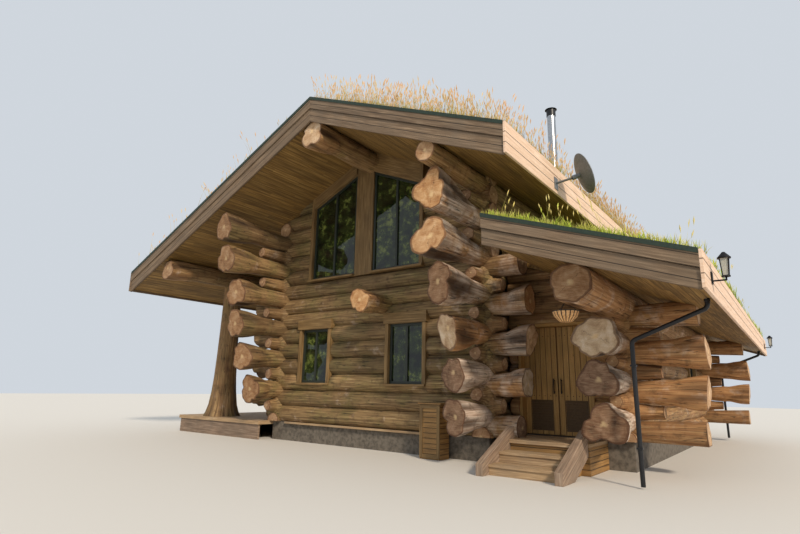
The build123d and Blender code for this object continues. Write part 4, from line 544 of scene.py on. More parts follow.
# A log along X or Y, grown ring by ring. Cuts part it, and notches (from, to, bottom, top) trim it flat
def growLog(pile, run, across, level, lowEnd, highEnd, radius, low, high, seed, cuts=(), notches=(),
            tint=wall["tint"]):
    chance = Random(seed)
    around, span = logLook["around"], logLook["creaseShadeSpan"]
    tone = chance.random()
    shift = Vector([chance.uniform(-50, 50) for i in range(3)])
    first = low - lowEnd["reach"]
    last = high + highEnd["reach"]
    stations = set()
    for end, corner, way in ((lowEnd, low, -1), (highEnd, high, 1)):
        stations.update((corner + way * 0.1, corner + way * logLook["shoulder"]))
        for share in logLook["flareShares"]:
            stations.add(corner + way * (end["start"] + share * (end["reach"] - end["start"])))
        if end["narrow"]:
            stations.add(corner + way * (end["start"] + 0.012))
    count = max(int((high - low) / logLook["step"]), 1)
    stations.update(low + (high - low) * i / count for i in range(count + 1))
    for u0, u1, z0, z1 in notches:
        stations.update((u0 - 0.002, u0, u1, u1 + 0.002))
    for a, b in splitRun(first, last, cuts):
        rows = []
        for s in sorted([s for s in stations if a + 1e-4 < s < b - 1e-4] + [a, b]):
            end, way = (lowEnd, -1) if s < low else (highEnd, 1)
            distance = max(low - s, s - high, 0.0)
            near = min(distance / logLook["blend"], 1.0)
            warm, pale = (tint[i] + (end["flank"][i] - tint[i]) * near for i in (0, 1))
            outs = []
            for k in range(around):
                angle = 2 * pi * k / around
                turn = Vector((0, cos(angle), sin(angle)))
                size, share = outlineAt(end, distance, angle, radius)
                rough = noise.noise(Vector((s * 0.9, 0, 0)) + turn * 1.3 + shift)
                rough += 0.5 * noise.noise(Vector((s * 2.3, 0, 0)) + turn * 3.1 + shift)
                size += logLook["wobble"] * rough * (1 + share)
                if end["roots"]:
                    size += logLook["flute"] * share * noise.noise(Vector((s * 0.5, 0, 0)) + turn * 2.4 + shift * 1.3)
                outs.append(size)
            ring = []
            for k, size in enumerate(outs):
                angle = 2 * pi * k / around
                # How far a point sits below the highest of its neighbours round the ring, kept as rim, which the flank
                # material darkens as painted shade.
                highest = max(outs[(k + i) % around] for i in range(-span, span + 1))
                creaseShade = min(max((highest - size) / highest * logLook["creaseShadeGain"] - logLook["creaseShadeFrom"], 0.0), 1.0)
                side = cos(angle) * size
                height = level + sin(angle) * size
                for u0, u1, z0, z1 in notches:
                    if u0 - 0.001 < s < u1 + 0.001:
                        height = max(height, z1) if z0 < level - radius + 0.02 else min(height, z0)
                slant = way * share ** 2 * (end["tilt"][0] * side + end["tilt"][1] * (height - level))
                place = (s + slant, across + side, height) if run == "x" else (across + side, s + slant, height)
                ring.append(pile.addPoint(place, tone, warm, creaseShade, pale))
            rows.append((s, ring))
        offset = chance.uniform(0, 40)
        flip = -1 if run == "x" else 1
        for (s0, ringA), (s1, ringB) in zip(rows, rows[1:]):
            for k in range(around):
                n = (k + 1) % around
                v0, v1 = 2 * pi * radius * k / around + seed, 2 * pi * radius * (k + 1) / around + seed
                uvs = [(s0 + offset, v0), (s1 + offset, v0), (s1 + offset, v1), (s0 + offset, v1)]
                pile.addFace([ringA[k], ringB[k], ringB[n], ringA[n]][::flip], uvs[::flip])
        for (s, ring), way, end, tip in ((rows[0], -1, lowEnd, first), (rows[-1], 1, highEnd, last)):
            sawn = abs(s - tip) < 1e-6
            closeEnd(pile, run, across, level, s, ring, way, end["face"] if sawn else logLook["plain"], sawn, chance)


# The sawn face: rings of points from the rim to the heart, with a small worn edge
def closeEnd(pile, run, across, level, s, rim, way, face, detailed, chance):
    centre = Vector((s, across, level)) if run == "x" else Vector((across, s, level))
    axis = Vector((way, 0, 0)) if run == "x" else Vector((0, way, 0))
    places = [Vector(pile.points[i]) for i in rim]
    warm, tone, pale = face
    tone = min(max(tone + chance.uniform(-0.12, 0.12), 0.0), 1.0)
    flip = 1 if (way > 0) == (run == "y") else -1

    def endFace(corners):
        spots = [pile.points[i] for i in corners[::flip]]
        uvs = [((spot[1] if run == "x" else spot[0]) - across, spot[2] - level) for spot in spots]
        pile.addFace(corners[::flip], uvs, 1)

    previous = None
    for share in (logLook["faceShares"] if detailed else (1,)):
        ring = []
        for place in places:
            spot = centre + (place - centre) * share
            if detailed:
                spot += axis * (logLook["saw"] * noise.noise(spot * 9.0) + logLook["dish"] * noise.noise(spot * 3.0) +
                                (0.0 if share == 1 else logLook["worn"]))
            ring.append(pile.addPoint(spot, tone, warm, share, pale))
        if previous:
            for k in range(len(ring)):
                n = (k + 1) % len(ring)
                endFace([previous[k], previous[n], ring[n], ring[k]])
        previous = ring
    heart = pile.addPoint(centre + axis * (logLook["worn"] if detailed else 0), tone, warm, 0.0, pale)
    for k in range(len(previous)):
        endFace([previous[k], previous[(k + 1) % len(previous)], heart])


# Ends of the stacks by row, then the roots of the ones that show and their looks
reaches = {
    "rightFront": (0, 1.17, 0.4, 1.24, 0.42, 1.42, 0.45, 1.78, 0.56, 2.03, 0.65, 2.0, 0.74, 2.24),
    "leftFront": (0, 0.44, 1.03, 0.48, 1.35, 0.56, 1.64, 0.7, 1.7, 0.9, 2.08, 1.0, 2.23, 0.23),
    "crossRight": (0.74, 0.38, 0.9, 0.42, 0.98, 0.45, 1.0, 0.43, 0.86),
    "crossLeft": (0.4, 0.9, 0.44, 0.94, 0.43, 0.96, 0.45, 0.98, 0.43),
    "leanFront": (0, 1.5, 0.7, 1.58, 0.76, 1.64, 0.8, 2.7),
    "leanCross": (1.26, 0.62, 1.33, 0.64, 1.38, 0.66, 1.3),
}
rightFrontRoots = {
    1: ((-0.12, 0.11, 0.215), (0, 0, 0.23), (-0.02, -0.14, 0.21)),
    3: ((-0.13, -0.07, 0.215), (0.05, -0.06, 0.215), (-0.02, -0.16, 0.21)),
    5: ((-0.11, 0.02, 0.24), (-0.03, -0.18, 0.23), (0.04, -0.03, 0.2)),
    7: ((0, 0.12, 0.25), (0, -0.15, 0.25), (0.15, 0.15, 0.16)),
    9: ((0.02, 0.11, 0.28), (-0.2, -0.06, 0.265), (0.12, -0.05, 0.19)),
    11: ((0.03, 0.42, 0.16), (0.09, 0.15, 0.165), (-0.29, 0.13, 0.18), (-0.09, -0.06, 0.19), (-0.09, 0.2, 0.21)),
}
# Their flanks are set warm and pale, partly as painted sunlight on these sunlit stacks.
rightFrontLooks = {
    1: {"face": (0.2, 0.25, 0.05), "flank": (0.6, 0.85), "tilt": (0.25, -0.1)},
    3: {"face": (0.15, 0.25, 0.05), "flank": (0.5, 0.75), "tilt": (0.3, 0.1)},
    5: {"face": (0.8, 0.7, 0.5), "flank": (0.95, 0.15), "tilt": (0.5, 0.25)},
    7: {"face": (0.35, 0.05, 0.0), "flank": (0.7, 0.5), "tilt": (0.15, 0.05)},
    9: {"face": (0.9, 0.7, 0.05), "flank": (0.75, 0.4), "tilt": (0.0, -0.08)},
    11: {"face": (1.0, 0.6, 0.0), "flank": (0.8, 0.45), "tilt": (0.0, 0.05)},
}
crossRightRoots = {
    0: ((0, 0.06, 0.26), (0.07, -0.02, 0.21)), 2: ((0, 0.08, 0.25), (-0.06, 0.01, 0.22)),
    4: ((-0.03, 0.14, 0.22), (0.06, 0.06, 0.23)), 6: ((0.02, 0.15, 0.22), (-0.06, 0.06, 0.23)),
    8: ((0, 0.03, 0.25), (0.06, -0.04, 0.22)),
}
crossRightFaces = {
    0: (0.2, 0.3, 0.1), 2: (0.3, 0.45, 0.7), 4: (0.8, 0.7, 0.4), 6: (0.95, 0.6, 0.0), 8: (0.4, 0.4, 0.1),
}
leanFrontRoots = {
    1: ((0.02, 0.12, 0.21), (0.17, -0.08, 0.21), (-0.19, -0.09, 0.17), (0, 0, 0.2)),
    3: ((-0.03, 0.06, 0.25), (-0.15, -0.03, 0.205), (0.14, -0.05, 0.195)),
    5: ((-0.21, 0.03, 0.2), (0.04, 0.06, 0.29), (0.19, -0.09, 0.19), (-0.06, -0.11, 0.22)),
}
# The lean-to stack's flanks are set warm and pale, partly as painted sunlight.
leanFrontLooks = {
    1: {"face": (0.25, 0.15, 0.0), "flank": (0.6, 0.8)},
    3: {"face": (0.15, 0.25, 0.05), "flank": (0.6, 0.7), "tilt": (0.05, 0.0)},
    5: {"face": (0.4, 0.4, 0.7), "flank": (0.75, 0.5), "tilt": (0.1, -0.1)},
}


def casingCut(centre):
    half = windows["width"] / 2
    return (centre - half - windows["casing"], centre + half + windows["casing"])


sideWindows = [casingCut(y) for y in windows["side"]]
frontWindows = [casingCut(x) for x in windows["front"]]


# A stack's flared root end. It starts to swell just past the ends of the logs above and below it
def stackEnd(stack, row, roots, **look):
    reach = reaches[stack]
    start = max(reach[max(row - 1, 0)], reach[min(row + 1, len(reach) - 1)]) + logLook["clear"]
    room = (lean if stack.startswith("lean") else wall)["room"]
    return endOf(reach[row], start, roots, room=room, **look)


# A narrow top end
def topEnd(reach, narrow=wall["topNarrow"], warm=0.4):
    return endOf(reach, narrow=narrow, face=(warm, 0.45, 0.1), flank=(warm, 0.1))


def makeSideWalls():
    for name, side in (("left", -1), ("right", 1)):
        pile = Pile()
        right = side > 0
        for row in range(wall["plate"] + 1):
            chance = Random(row * 7 + (3 if right else 11))
            level = plateLevel if row == wall["plate"] else sideLevel(row)
            butt = row % 2 == (1 if right else 0)
            roots = roundRoots(row, *wall["sideRoot"])
            back = endOf(wall["backButt"], wall["backSwell"], roots, face=(0.6, 0.5, 0.1))
            cuts, notches = [], []
            if row == 0:
                front = back = endOf(logLook["shoulder"])
                notches.append((*wholeRun, level - wall["under"], level))
            elif row == wall["plate"]:
                front = endOf(wall["plateReach" if right else "leftPlateReach"], face=(0.8, 0.7, 0.2))
                back = endOf(wall["plateReach"])
            elif not butt:
                front = topEnd(reaches[name + "Front"][row])
            elif right:
                front = stackEnd("rightFront", row, rightFrontRoots[row], **rightFrontLooks[row])
            else:
                front = stackEnd("leftFront", row, roots, flank=(0.3, 0.0), tilt=(chance.uniform(-0.15, 0.15), 0.1),
                                 face=(0.65, 0.15, 0.0))
            if 0 < row < wall["plate"] and not butt or row == wall["plate"] - 1:
                back = topEnd(wall["backTop"])
            if right and 0 < row < passages["headRow"]:
                cuts = [passages["inner"]]
            elif right and row == passages["headRow"]:
                notches.append((*passages["inner"], 0, passages["head"]))
            elif row in windows["rows"]:
                cuts = sideWindows
            elif row == windows["sillRow"]:
                notches += [(*cut, windows["sideSill"], sky) for cut in sideWindows]
            growLog(pile, "y", side * wall["half"], level, front, back, wall["radius"], 0, wall["length"],
                    100 + row + 40 * side, cuts, notches)
        pile.make(name + "WallLogs", "cabin", ("logSide", "logEnd"), (name + "_wall_logs",))


def makeGableWalls():
    for name, y in (("front", 0.0), ("back", wall["length"])):
        pile = Pile()
        for row in range(wall["plate"] + 2):
            cuts, notches = [], []
            half = wall["half"]
            left = right = endOf(wall["stub"])
            if row > wall["plate"]:
                half = wall["topHalf"]
                left = right = endOf(wall["topStub"])
            elif row < wall["fullRows"] and row % 2:
                left = stackEnd("crossLeft", row, roundRoots(row, *wall["crossRoot"]), flank=(0.35, 0.05))
                right = topEnd(reaches["crossRight"][row], warm=0.7)
            elif row < wall["fullRows"]:
                left = topEnd(reaches["crossLeft"][row])
                # The flanks are set warm and pale, partly as painted sunlight.
                right = stackEnd("crossRight", row, crossRightRoots[row], face=crossRightFaces[row],
                                 flank=(0.8, 0.4), tilt=(0.0, 0.2 if row == 4 else 0.0))
            if name == "back" and row < wall["fullRows"]:
                right = endOf(wall["stub"])
            if row == 0:
                notches.append((*wholeRun, 0, wall["base"]))
            elif row in windows["rows"]:
                cuts = frontWindows
            elif row == windows["sillRow"]:
                notches += [(*cut, windows["frontSill"], sky) for cut in frontWindows]
            elif row == wall["fullRows"] - 1:
                notches.append((*passages["gable"], passages["gableSill"], sky))
            elif row > wall["plate"]:
                cuts = [(passages["gable"][0], passages["gableEnd"])]
            elif row >= wall["fullRows"]:
                cuts = [passages["gable"]]
            growLog(pile, "x", y, crossLevel(row), left, right, wall["radius"], -half, half, 300 + row + int(y),
                    cuts, notches, wall["gableTint"])
        pile.make(name + "WallLogs", "cabin", ("logSide", "logEnd"), (name + "_wall_logs",))


def makeLeanSideWall():
    pile = Pile()
    for row in range(lean["plate"] + 1):
        onTop = row == lean["plate"]
        level = leanPlateLevel if onTop else sideLevel(row, lean)
        cuts, notches = [], []
        if row == 0:
            front = back = endOf(logLook["shoulder"])
            notches.append((*wholeRun, level - wall["under"], level))
        elif onTop:
            front = endOf(lean["plateFront"], lean["plateSwell"], lean["plateRoots"], face=(0.6, 0.12, 0.0),
                          flank=(0.95, 0.2))
            back = endOf(lean["plateBack"])
        elif row % 2:
            front = stackEnd("leanFront", row, leanFrontRoots[row], **leanFrontLooks[row])
            back = endOf(lean["backButt"], wall["backSwell"], roundRoots(row, *lean["root"]))
        else:
            front = topEnd(reaches["leanFront"][row], lean["topNarrow"], 0.8)
            back = topEnd(wall["backTop"], lean["topNarrow"])
        if row in windows["rows"]:
            cuts = sideWindows
        elif row == windows["sillRow"]:
            notches += [(*cut, windows["leanSill"], sky) for cut in sideWindows]
        growLog(pile, "y", lean["x"], level, front, back, lean["plateRadius" if onTop else "radius"], lean["front"],
                wall["length"], 500 + row, cuts, notches, lean["sideTint"])
    pile.make("leantoSideLogs", "cabin", ("logSide", "logEnd"), ("leanto_side_logs",))


def makeLeanCrossWalls():
    front = ("leanto_front_logs", "door_lintel_log", "leanto_over_door_logs")
    for name, y, replaced in (("Front", lean["front"], front), ("Back", wall["length"], ("leanto_back_logs",))):
        pile = Pile()
        for row in range(lean["rows"]):
            cuts, notches = [], []
            end = endOf(lean["stub"])
            if row < lean["plate"] and row % 2:
                end = topEnd(reaches["leanCross"][row], lean["topNarrow"], 0.8)
            elif row < lean["plate"]:
                end = stackEnd("leanCross", row, roundRoots(row, *lean["root"]), face=(0.75, 0.8, 0.3),
                               flank=(0.9, 0.15), tilt=(0.0, 0.25 - 0.08 * row))
            if name == "Front" and row < passages["headRow"]:
                cuts = [passages["door"]]
            elif name == "Front" and row == passages["headRow"]:
                notches.append((*passages["door"], 0, passages["head"]))
            if row == 0:
                notches.append((*wholeRun, 0, lean["base"]))
            growLog(pile, "x", y, crossLevel(row, lean), endOf(0.0), end, lean["radius"], wall["half"] + wall["stub"],
                    lean["upperEnds"].get(row, lean["x"]), 700 + row, cuts, notches, lean["crossTint"])
        pile.make("leanto" + name + "Logs", "cabin", ("logSide", "logEnd"), replaced)


# Single logs under the roof. Roots are as in endOf; "length" is how far back from the front the root swells
backStub = 0.3
timberTint = (0.3, 0.0)
timbers = {
    "ridgeLog": {"node": "ridge_log", "x": 0.0, "level": ridgeLevel, "radius": ridge["radius"], "front": -2.26,
                 "back": 11.66, "length": 0.9, "face": (0.75, 0.75, 0.35),
                 "roots": ((0.07, 0.04, 0.2), (-0.07, -0.06, 0.22), (0.13, -0.2, 0.17), (-0.17, -0.17, 0.16))},
    "verandaPurlin": {"node": "veranda_purlin", "x": purlin["x"], "level": purlinLevel, "radius": purlin["radius"],
                      "front": -2.18, "back": 11.58, "length": 0.9, "face": (0.5, 0.5, 0.1),
                      "roots": ((-0.06, -0.11, 0.21), (0.09, -0.08, 0.19), (0, -0.02, 0.23))},
    "joistLog": {"node": "joist_log", "x": 0.5, "level": sideLevel(7), "radius": 0.225, "front": -1.0,
                 "back": 9.73, "length": 0.62, "face": (1.0, 0.7, 0.0),
                 "roots": ((-0.05, 0.03, 0.23), (0.06, -0.05, 0.22))},
}


def makeTimbers():
    for index, (name, look) in enumerate(timbers.items()):
        pile = Pile()
        front = endOf(look["length"] + 0.05, 0.05, look["roots"], face=look["face"], flank=(0.6, 0.1))
        growLog(pile, "y", look["x"], look["level"], front, endOf(backStub), look["radius"],
                look["front"] + front["reach"], look["back"] - backStub, 900 + index, tint=timberTint)
        pile.make(name, "cabin", ("logSide", "logEnd"), (look["node"],))


# Veranda posts: whole trunks standing on their flared roots. The profile is height over the foot and radius
postLook = {"foot": 0.465, "around": 48, "lobes": 6, "crease": 0.22, "flare": 1.1, "top": 0.26, "seat": 0.004,
            "wobble": 0.012, "girth": 1.8,
            "profile": ((0.0, 0.52), (0.12, 0.46), (0.32, 0.4), (0.7, 0.35), (1.1, 0.32), (1.8, 0.29), (2.6, 0.27),
                        (3.2, 0.26))}


def makePosts(look):
    pile = Pile()
    around = look["around"]
    top = purlinLevel - look["foot"]
    for index, y in enumerate((0.0, wall["length"] / 2, wall["length"])):
        shift = Vector((index * 7.3, 1.7, 4.4))
        rows = []
        for height, size in look["profile"] + ((top, look["top"]),):
            weight = max(0.0, 1 - height / look["flare"]) ** 1.5
            ring = []
            for k in range(around):
                angle = 2 * pi * k / around
                swing = abs(cos(look["lobes"] / 2 * angle + index)) ** 0.6
                turn = Vector((0, cos(angle), sin(angle)))
                out = size * (1 + weight * look["crease"] * (swing - 0.9))
                out += look["wobble"] * noise.noise(Vector((height * 0.8, 0, 0)) + turn * 1.5 + shift)
                place = Vector((purlin["x"] + cos(angle) * out, y + sin(angle) * out, look["foot"] + height))
                if height == top:
                    aside = min(abs(place.x - purlin["x"]), purlin["radius"] - 0.001)
                    place.z = purlinLevel - sqrt(purlin["radius"] ** 2 - aside ** 2) + look["seat"]
                # The rim value is highest in the creases between the root lobes, where the material paints shade.
                ring.append(pile.addPoint(place, 0.4 + 0.1 * index, 0.45 - 0.2 * weight, weight * (1 - swing)))
            rows.append((height + index, ring))
        for (h0, a), (h1, b) in zip(rows, rows[1:]):
            for k in range(around):
                n = (k + 1) % around
                v0, v1 = look["girth"] * k / around, look["girth"] * (k + 1) / around
                pile.addFace([a[k], a[n], b[n], b[k]], [(h0, v0), (h0, v1), (h1, v1), (h1, v0)])
    pile.make("verandaPosts", "cabin", ("logSide",), ("veranda_posts",))


makeTimbers()
makeSideWalls()
makeGableWalls()
makeLeanSideWall()
makeLeanCrossWalls()
makePosts(postLook)
print("stage: logs grown")


def bake(piece):
    bpy.context.view_layer.update()
    mesh = bpy.data.meshes.new_from_object(piece.evaluated_get(bpy.context.evaluated_depsgraph_get()))
    mesh.name = piece.name
    piece.data = mesh
    piece.modifiers.clear()


# Boards. A copy of the CAD board gets grain along its longest side, measured across from its edge, and a tone.
# The boards of a mesh are taken in its own order, so that each run gives every board the same tone.
def grainCopy(nodeName, pieceName, finish, body="cabin", bevel=0.004, seed=1, grain=None):
    mesh = nodes[nodeName].data.copy()
    mesh.name = pieceName
    mesh.materials.clear()
    mesh.materials.append(materials[finish])
    work = bmesh.new()
    work.from_mesh(mesh)
    bmesh.ops.remove_doubles(work, verts=work.verts, dist=0.0001)
    bmesh.ops.dissolve_limit(work, angle_limit=radians(1), verts=work.verts, edges=work.edges)
    layer = work.loops.layers.uv.verify()
    toneLayer = work.verts.layers.float.new("tone")
    chance = Random(seed)
    left = set(work.verts)
    for first in list(work.verts):
        if first not in left:
            continue
        left.remove(first)
        group, stack = [], [first]
        while stack:
            current = stack.pop()
            group.append(current)
            for edge in current.link_edges:
                other = edge.other_vert(current)
                if other in left:
                    left.remove(other)
                    stack.append(other)
        group.sort(key=lambda v: v.index)
        longest = max((edge.other_vert(v).co - v.co for v in group for edge in v.link_edges), key=lambda e: e.length)
        along = Vector(grain) if grain else longest.normalized()
        tone = chance.random()
        shift = chance.uniform(0, 30)
        faces = set()
        for v in group:
            v[toneLayer] = tone
            faces.update(v.link_faces)
        for face in faces:
            sideways = face.normal.cross(along)
            if sideways.length < 0.3:
                sideways = Vector((0, 1, 0) if abs(along.z) > 0.7 else (0, 0, 1))
            sideways.normalize()
            lengthwise = along if abs(face.normal.dot(along)) < 0.7 else face.normal.cross(sideways)
            lowest = min(v.co.dot(sideways) for v in group)
            for loop in face.loops:
                loop[layer].uv = (loop.vert.co.dot(lengthwise) + shift, loop.vert.co.dot(sideways) - lowest)
    work.to_mesh(mesh)
    work.free()
    piece = bpy.data.objects.new(pieceName, mesh)
    scene.collection.objects.link(piece)
    edgeWear = piece.modifiers.new("edgeWear", "BEVEL")
    edgeWear.width = bevel
    edgeWear.segments = 1
    edgeWear.limit_method = "ANGLE"
    edgeWear.angle_limit = radians(40)
    bake(piece)
    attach(piece, body)
    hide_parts(nodeName)


boardNodes = {
    "window_casings": "brownBoards", "gable_window_boards": "brownBoards", "gable_posts": "brownBoards",
    "base_flashing": "deckBoards", "porch_steps": "deckBoards", "step_stringers": "greyBoards",
    "door_frame": "doorBoards", "porch_base": "cabinetBoards", "veranda_skirt": "greyBoards",
    "meter_cabinet": "cabinetBoards", "porch_floor": "deckBoards", "veranda_deck": "deckBoards",
    "main_bargeboards": "bargePlanks", "leanto_bargeboards": "bargePlanks", "left_eave_boards": "bargePlanks",
    "right_eave_boards": "newPlanks", "leanto_eave_boards": "newPlanks",
}
for index, (nodeName, finish) in enumerate(boardNodes.items()):
    words = nodeName.split("_")
    pieceName = words[0] + "".join(word.title() for word in words[1:])
    grainCopy(nodeName, pieceName, finish, seed=index, grain=(1, 0, 0) if finish == "cabinetBoards" else None)
for side in ("left", "right"):
    grainCopy("door_" + side, side + "DoorLeaf", "doorPlanks", side + "_leaf", 0.003, 40)
print("stage: boards dressed")


# Small pieces made of boxes: each box is x0, x1, y0, y1, z0, z1, with a tone, and grain along its longest side
def makeBoxes(name, body, finish, boxes):
    pile = Pile()
    chance = Random(len(name))
    for x0, x1, y0, y1, z0, z1 in boxes:
        tone = chance.random()
        corners = [pile.addPoint((x, y, z), tone) for x in (x0, x1) for y in (y0, y1) for z in (z0, z1)]
        sizes = (x1 - x0, y1 - y0, z1 - z0)
        main = sizes.index(max(sizes))
        shift = chance.uniform(0, 20)
        for side in ((0, 1, 3, 2), (4, 6, 7, 5), (0, 4, 5, 1), (2, 3, 7, 6), (0, 2, 6, 4), (1, 5, 7, 3)):
            spots = [pile.points[corners[i]] for i in side]
            flat = next(i for i in range(3) if len({spot[i] for spot in spots}) == 1)
            u, v = sorted((i for i in range(3) if i != flat), key=lambda i: i != main)
            pile.addFace([corners[i] for i in side], [(spot[u] + shift, spot[v] + shift) for spot in spots])
    pile.make(name, body, (finish,), smooth=False)


# Framing on the cabinet's door. "sunk" is how far these strips and the studs go into the boards behind them
sunk = 0.002
cabinet = {"x0": 1.86, "x1": 2.34, "front": -0.5554, "low": 0.03, "high": 1.045, "strip": 0.07, "proud": 0.016}


def makeCabinetFrame(c):
    y0, y1 = c["front"] - c["proud"], c["front"] + sunk
    x0, x1, low, high, strip = c["x0"], c["x1"], c["low"], c["high"], c["strip"]
    makeBoxes("cabinetFraming", "cabin", "brownBoards", (
        (x0, x0 + strip, y0, y1, low, high), (x1 - strip, x1, y0, y1, low, high),
        (x0 + strip, x1 - strip, y0, y1, high - strip, high), (x0 + strip, x1 - strip, y0, y1, low, low + strip),
    ))


# Heads of the studs down the boards of the doors
studs = {"rows": (1.27, 2.46), "size": 0.014, "face": 0.8, "proud": 0.004, "pitch": 0.115,
         "left": 3.586, "right": 4.277, "boards": 6}


def makeStuds(s):
    half = s["size"] / 2
    for side in ("left", "right"):
        spots = [s[side] + s["pitch"] * (i + 0.5) for i in range(s["boards"])]
        makeBoxes(side + "DoorStuds", side + "_leaf", "iron", [
            (x - half, x + half, s["face"] - s["proud"], s["face"] + sunk, z - half, z + half)
            for x in spots for z in s["rows"]])


# Clips that hold the front downpipe
clips = {"x": 6.13, "y": -1.0, "half": 0.043, "levels": (0.55, 1.75), "height": 0.03}


def makeClips(c):
    makeBoxes("pipeClips", "cabin", "blackSheet", [
        (c["x"] - c["half"], c["x"] + c["half"], c["y"] - c["half"], c["y"] + c["half"], z, z + c["height"])
        for z in c["levels"]])


makeCabinetFrame(cabinet)
makeStuds(studs)
makeClips(clips)
print("stage: small fittings made")


# Grass on the turf. One tuft of blades and one of stalks with seed heads are scattered over the slabs' tops.
# In each field, "rim" is how much thicker it stands near the edges, within "edge" metres, and "ridge" how far the
# slab's inner side is from counting as one.
grass = {
    "blade": {"count": 9, "height": (0.09, 0.2), "spread": 0.07, "lean": 0.09, "width": 0.012},
    "stalk": {"count": 4, "height": (0.3, 0.52), "spread": 0.11, "lean": 0.13, "width": 0.006, "head": 0.1,
              "headWidth": 0.022},
    "edge": 0.9, "cells": 24, "turnFrom": (-0.25, -0.25, 0), "turnTo": (0.25, 0.25, 6.28), "size": (0.65, 1.2),
    "even": 0.75, "patchy": 0.8, "patchScale": 0.6, "least": 0.15,
    "fields": {
        "leftGrass": {"node": "turf_left", "tuft": "blade", "density": 22.0, "finish": "roofGrass", "rim": 2.2},
        "rightGrass": {"node": "turf_right", "tuft": "blade", "density": 40.0, "finish": "roofGrass", "rim": 2.2},
        "leantoGrass": {"node": "leanto_turf", "tuft": "blade", "density": 60.0, "finish": "leanGrass", "rim": 1.6,
                        "ridge": 9.0},
        "leftStalks": {"node": "turf_left", "tuft": "stalk", "density": 5.0, "finish": "roofGrass", "rim": 1.2},
        "rightStalks": {"node": "turf_right", "tuft": "stalk", "density": 34.0, "finish": "roofGrass", "rim": 2.4},
        "leantoStalks": {"node": "leanto_turf", "tuft": "stalk", "density": 2.2, "finish": "leanGrass", "rim": 0.3,
                         "ridge": 9.0},
    },
}


def tuftObject(name, look, seed):
    chance = Random(seed)
    points, faces, tones = [], [], []
    for i in range(look["count"]):
        turn = chance.uniform(0, 2 * pi)
        root = Vector((chance.uniform(-1, 1), chance.uniform(-1, 1), 0)) * look["spread"]
        height = chance.uniform(*look["height"])
        bow = Vector((chance.uniform(-1, 1), chance.uniform(-1, 1), 0)) * look["lean"]
        side = Vector((cos(turn), sin(turn), 0)) * look["width"] / 2
        middle = root + bow * 0.35 + Vector((0, 0, height * 0.55))
        tip = root + bow + Vector((0, 0, height))
        start = len(points)
        points += [root - side, root + side, middle - side * 0.8, middle + side * 0.8, tip]
        tones += [0.0, 0.0, 0.5, 0.5, 0.75 if "head" in look else 1.0]
        faces += [(start, start + 1, start + 3, start + 2), (start + 2, start + 3, start + 4)]
        if "head" in look:
            wide = side.normalized() * look["headWidth"] / 2
            across = Vector((-wide.y, wide.x, 0))
            droop = tip + bow * 0.3 + Vector((0, 0, look["head"]))
            swell = tip + bow * 0.12 + Vector((0, 0, look["head"] * 0.4))
            low = tip - Vector((0, 0, look["head"] * 0.3))
            start = len(points)
            points += [low, swell - wide, swell + wide, droop, swell - across, swell + across]
            tones += [0.85, 1.0, 1.0, 1.0, 1.0, 1.0]
            faces += [(start, start + 2, start + 3, start + 1), (start, start + 5, start + 3, start + 4)]
    mesh = bpy.data.meshes.new(name)
    mesh.from_pydata(points, [], faces)
    mesh.attributes.new("tone", "FLOAT", "POINT").data.foreach_set("value", tones)
    return bpy.data.objects.new(name, mesh)


def scatterTree():
    tree = bpy.data.node_groups.new("scatterTufts", "GeometryNodeTree")
    for name, kind in (("Geometry", "Geometry"), ("Tuft", "Object"), ("Density", "Float"), ("Seed", "Int"),
                       ("Finish", "Material")):
        tree.interface.new_socket(name, in_out="INPUT", socket_type="NodeSocket" + kind)
    tree.interface.new_socket("Geometry", in_out="OUTPUT", socket_type="NodeSocketGeometry")
    add = partial(addNode, tree)
    given = add("NodeGroupInput").node.outputs
    thick = add("GeometryNodeInputNamedAttribute", {"Name": "thick"}, data_type="FLOAT")
    density = add("Math", {0: given["Density"], 1: thick}, operation="MULTIPLY")
    points = add("GeometryNodeDistributePointsOnFaces",
                 {"Mesh": given["Geometry"], "Density": density, "Seed": given["Seed"]})
    tuft = add("GeometryNodeObjectInfo", {"Object": given["Tuft"]}, "Geometry")
    turn = add("FunctionNodeRandomValue", {0: grass["turnFrom"], 1: grass["turnTo"], "Seed": 3},
               data_type="FLOAT_VECTOR")
    size = add("FunctionNodeRandomValue", {2: grass["size"][0], 3: grass["size"][1], "Seed": 5}, 1,
               data_type="FLOAT")
    dry = add("FunctionNodeRandomValue", {2: 0.0, 3: 1.0, "Seed": 8}, 1, data_type="FLOAT")
    tufts = add("GeometryNodeInstanceOnPoints", {"Points": points, "Instance": tuft, "Rotation": turn, "Scale": size})
    marked = add("GeometryNodeStoreNamedAttribute", {"Geometry": tufts, "Name": "dry", "Value": dry},
                 data_type="FLOAT", domain="INSTANCE")
    real = add("GeometryNodeRealizeInstances", {"Geometry": marked})
    dressed = add("GeometryNodeSetMaterial", {"Geometry": real, "Material": given["Finish"]})
    add("NodeGroupOutput", {"Geometry": dressed})
    return tree


# The slab's top as a net of small faces. "thick" is how dense the grass stands, with more along the edges
def turfTop(look):
    work = bmesh.new()
    work.from_mesh(nodes[look["node"]].data)
    bmesh.ops.delete(work, geom=[f for f in work.faces if f.normal.z < 0.5], context="FACES")
    bmesh.ops.subdivide_edges(work, edges=work.edges, cuts=grass["cells"], use_grid_fill=True)
    places = [vert.co for vert in work.verts]
    front, back = min(p.y for p in places), max(p.y for p in places)
    inner, outer = min(abs(p.x) for p in places) - look.get("ridge", 0.0), max(abs(p.x) for p in places)
    layer = work.verts.layers.float.new("thick")
    for vert in work.verts:
        away = min(vert.co.y - front, back - vert.co.y, outer - abs(vert.co.x), abs(vert.co.x) - inner)
        patch = grass["even"] + grass["patchy"] * noise.noise(vert.co * grass["patchScale"])
        vert[layer] = max(patch, grass["least"]) * (1 + look["rim"] * max(0.0, 1 - away / grass["edge"]))
    mesh = bpy.data.meshes.new(look["node"] + "Top")
    work.to_mesh(mesh)
    work.free()
    return mesh


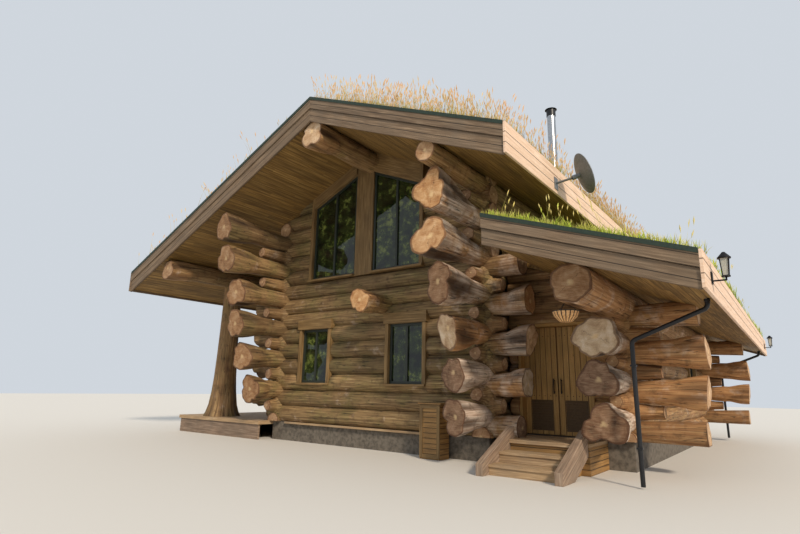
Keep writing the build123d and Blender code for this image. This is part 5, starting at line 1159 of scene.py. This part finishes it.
def growGrass():
    tree = scatterTree()
    items = tree.interface.items_tree
    tufts = {"blade": tuftObject("bladeTuft", grass["blade"], 4), "stalk": tuftObject("stalkTuft", grass["stalk"], 9)}
    for seed, (name, look) in enumerate(grass["fields"].items(), 1):
        piece = bpy.data.objects.new(name, turfTop(look))
        scene.collection.objects.link(piece)
        scatter = piece.modifiers.new("scatter", "NODES")
        scatter.node_group = tree
        for key, value in (("Tuft", tufts[look["tuft"]]), ("Density", look["density"]), ("Seed", seed),
                           ("Finish", materials[look["finish"]])):
            scatter[items[key].identifier] = value
        bake(piece)
        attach(piece, "cabin")
        print("stage:", name, len(piece.data.polygons))


growGrass()

# Room for light: plain floor, soft sky and one broad lamp
stageLook = {"floorSize": 120.0, "floorLevel": -0.001, "floorHex": "#d9d5cd", "worldHex": "#dfe6ee",
             "worldStrength": 0.85, "sunHex": "#fff0dc", "sunStrength": 2.9, "sunAngle": 7.0,
             "sunFrom": (0.82, -0.5, 0.62)}


def makeStage(look):
    mesh = bpy.data.meshes.new("floorSheet")
    half = look["floorSize"] / 2
    mesh.from_pydata([(x * half, y * half, look["floorLevel"]) for x, y in ((-1, -1), (1, -1), (1, 1), (-1, 1))], [],
                     [(0, 1, 2, 3)])
    floorSheet = bpy.data.objects.new("floorSheet", mesh)
    scene.collection.objects.link(floorSheet)
    material, add = newMaterial("paleFloor")
    mesh.materials.append(withShader(material, add, look["floorHex"], (), 0.9))
    world = bpy.data.worlds.new("softSky")
    scene.world = world
    world.use_nodes = True
    world.node_tree.nodes.clear()
    lit = addNode(world.node_tree, "Background", {"Color": look["worldHex"], "Strength": look["worldStrength"]})
    addNode(world.node_tree, "OutputWorld", {"Surface": lit})
    sun = bpy.data.lights.new("broadLamp", "SUN")
    sun.energy = look["sunStrength"]
    sun.angle = radians(look["sunAngle"])
    sun.color = hexToLinear(look["sunHex"])[:3]
    lamp = bpy.data.objects.new("broadLamp", sun)
    lamp.rotation_euler = Vector(look["sunFrom"]).to_track_quat("Z", "Y").to_euler()
    scene.collection.objects.link(lamp)


makeStage(stageLook)
print("stage: floor and light")
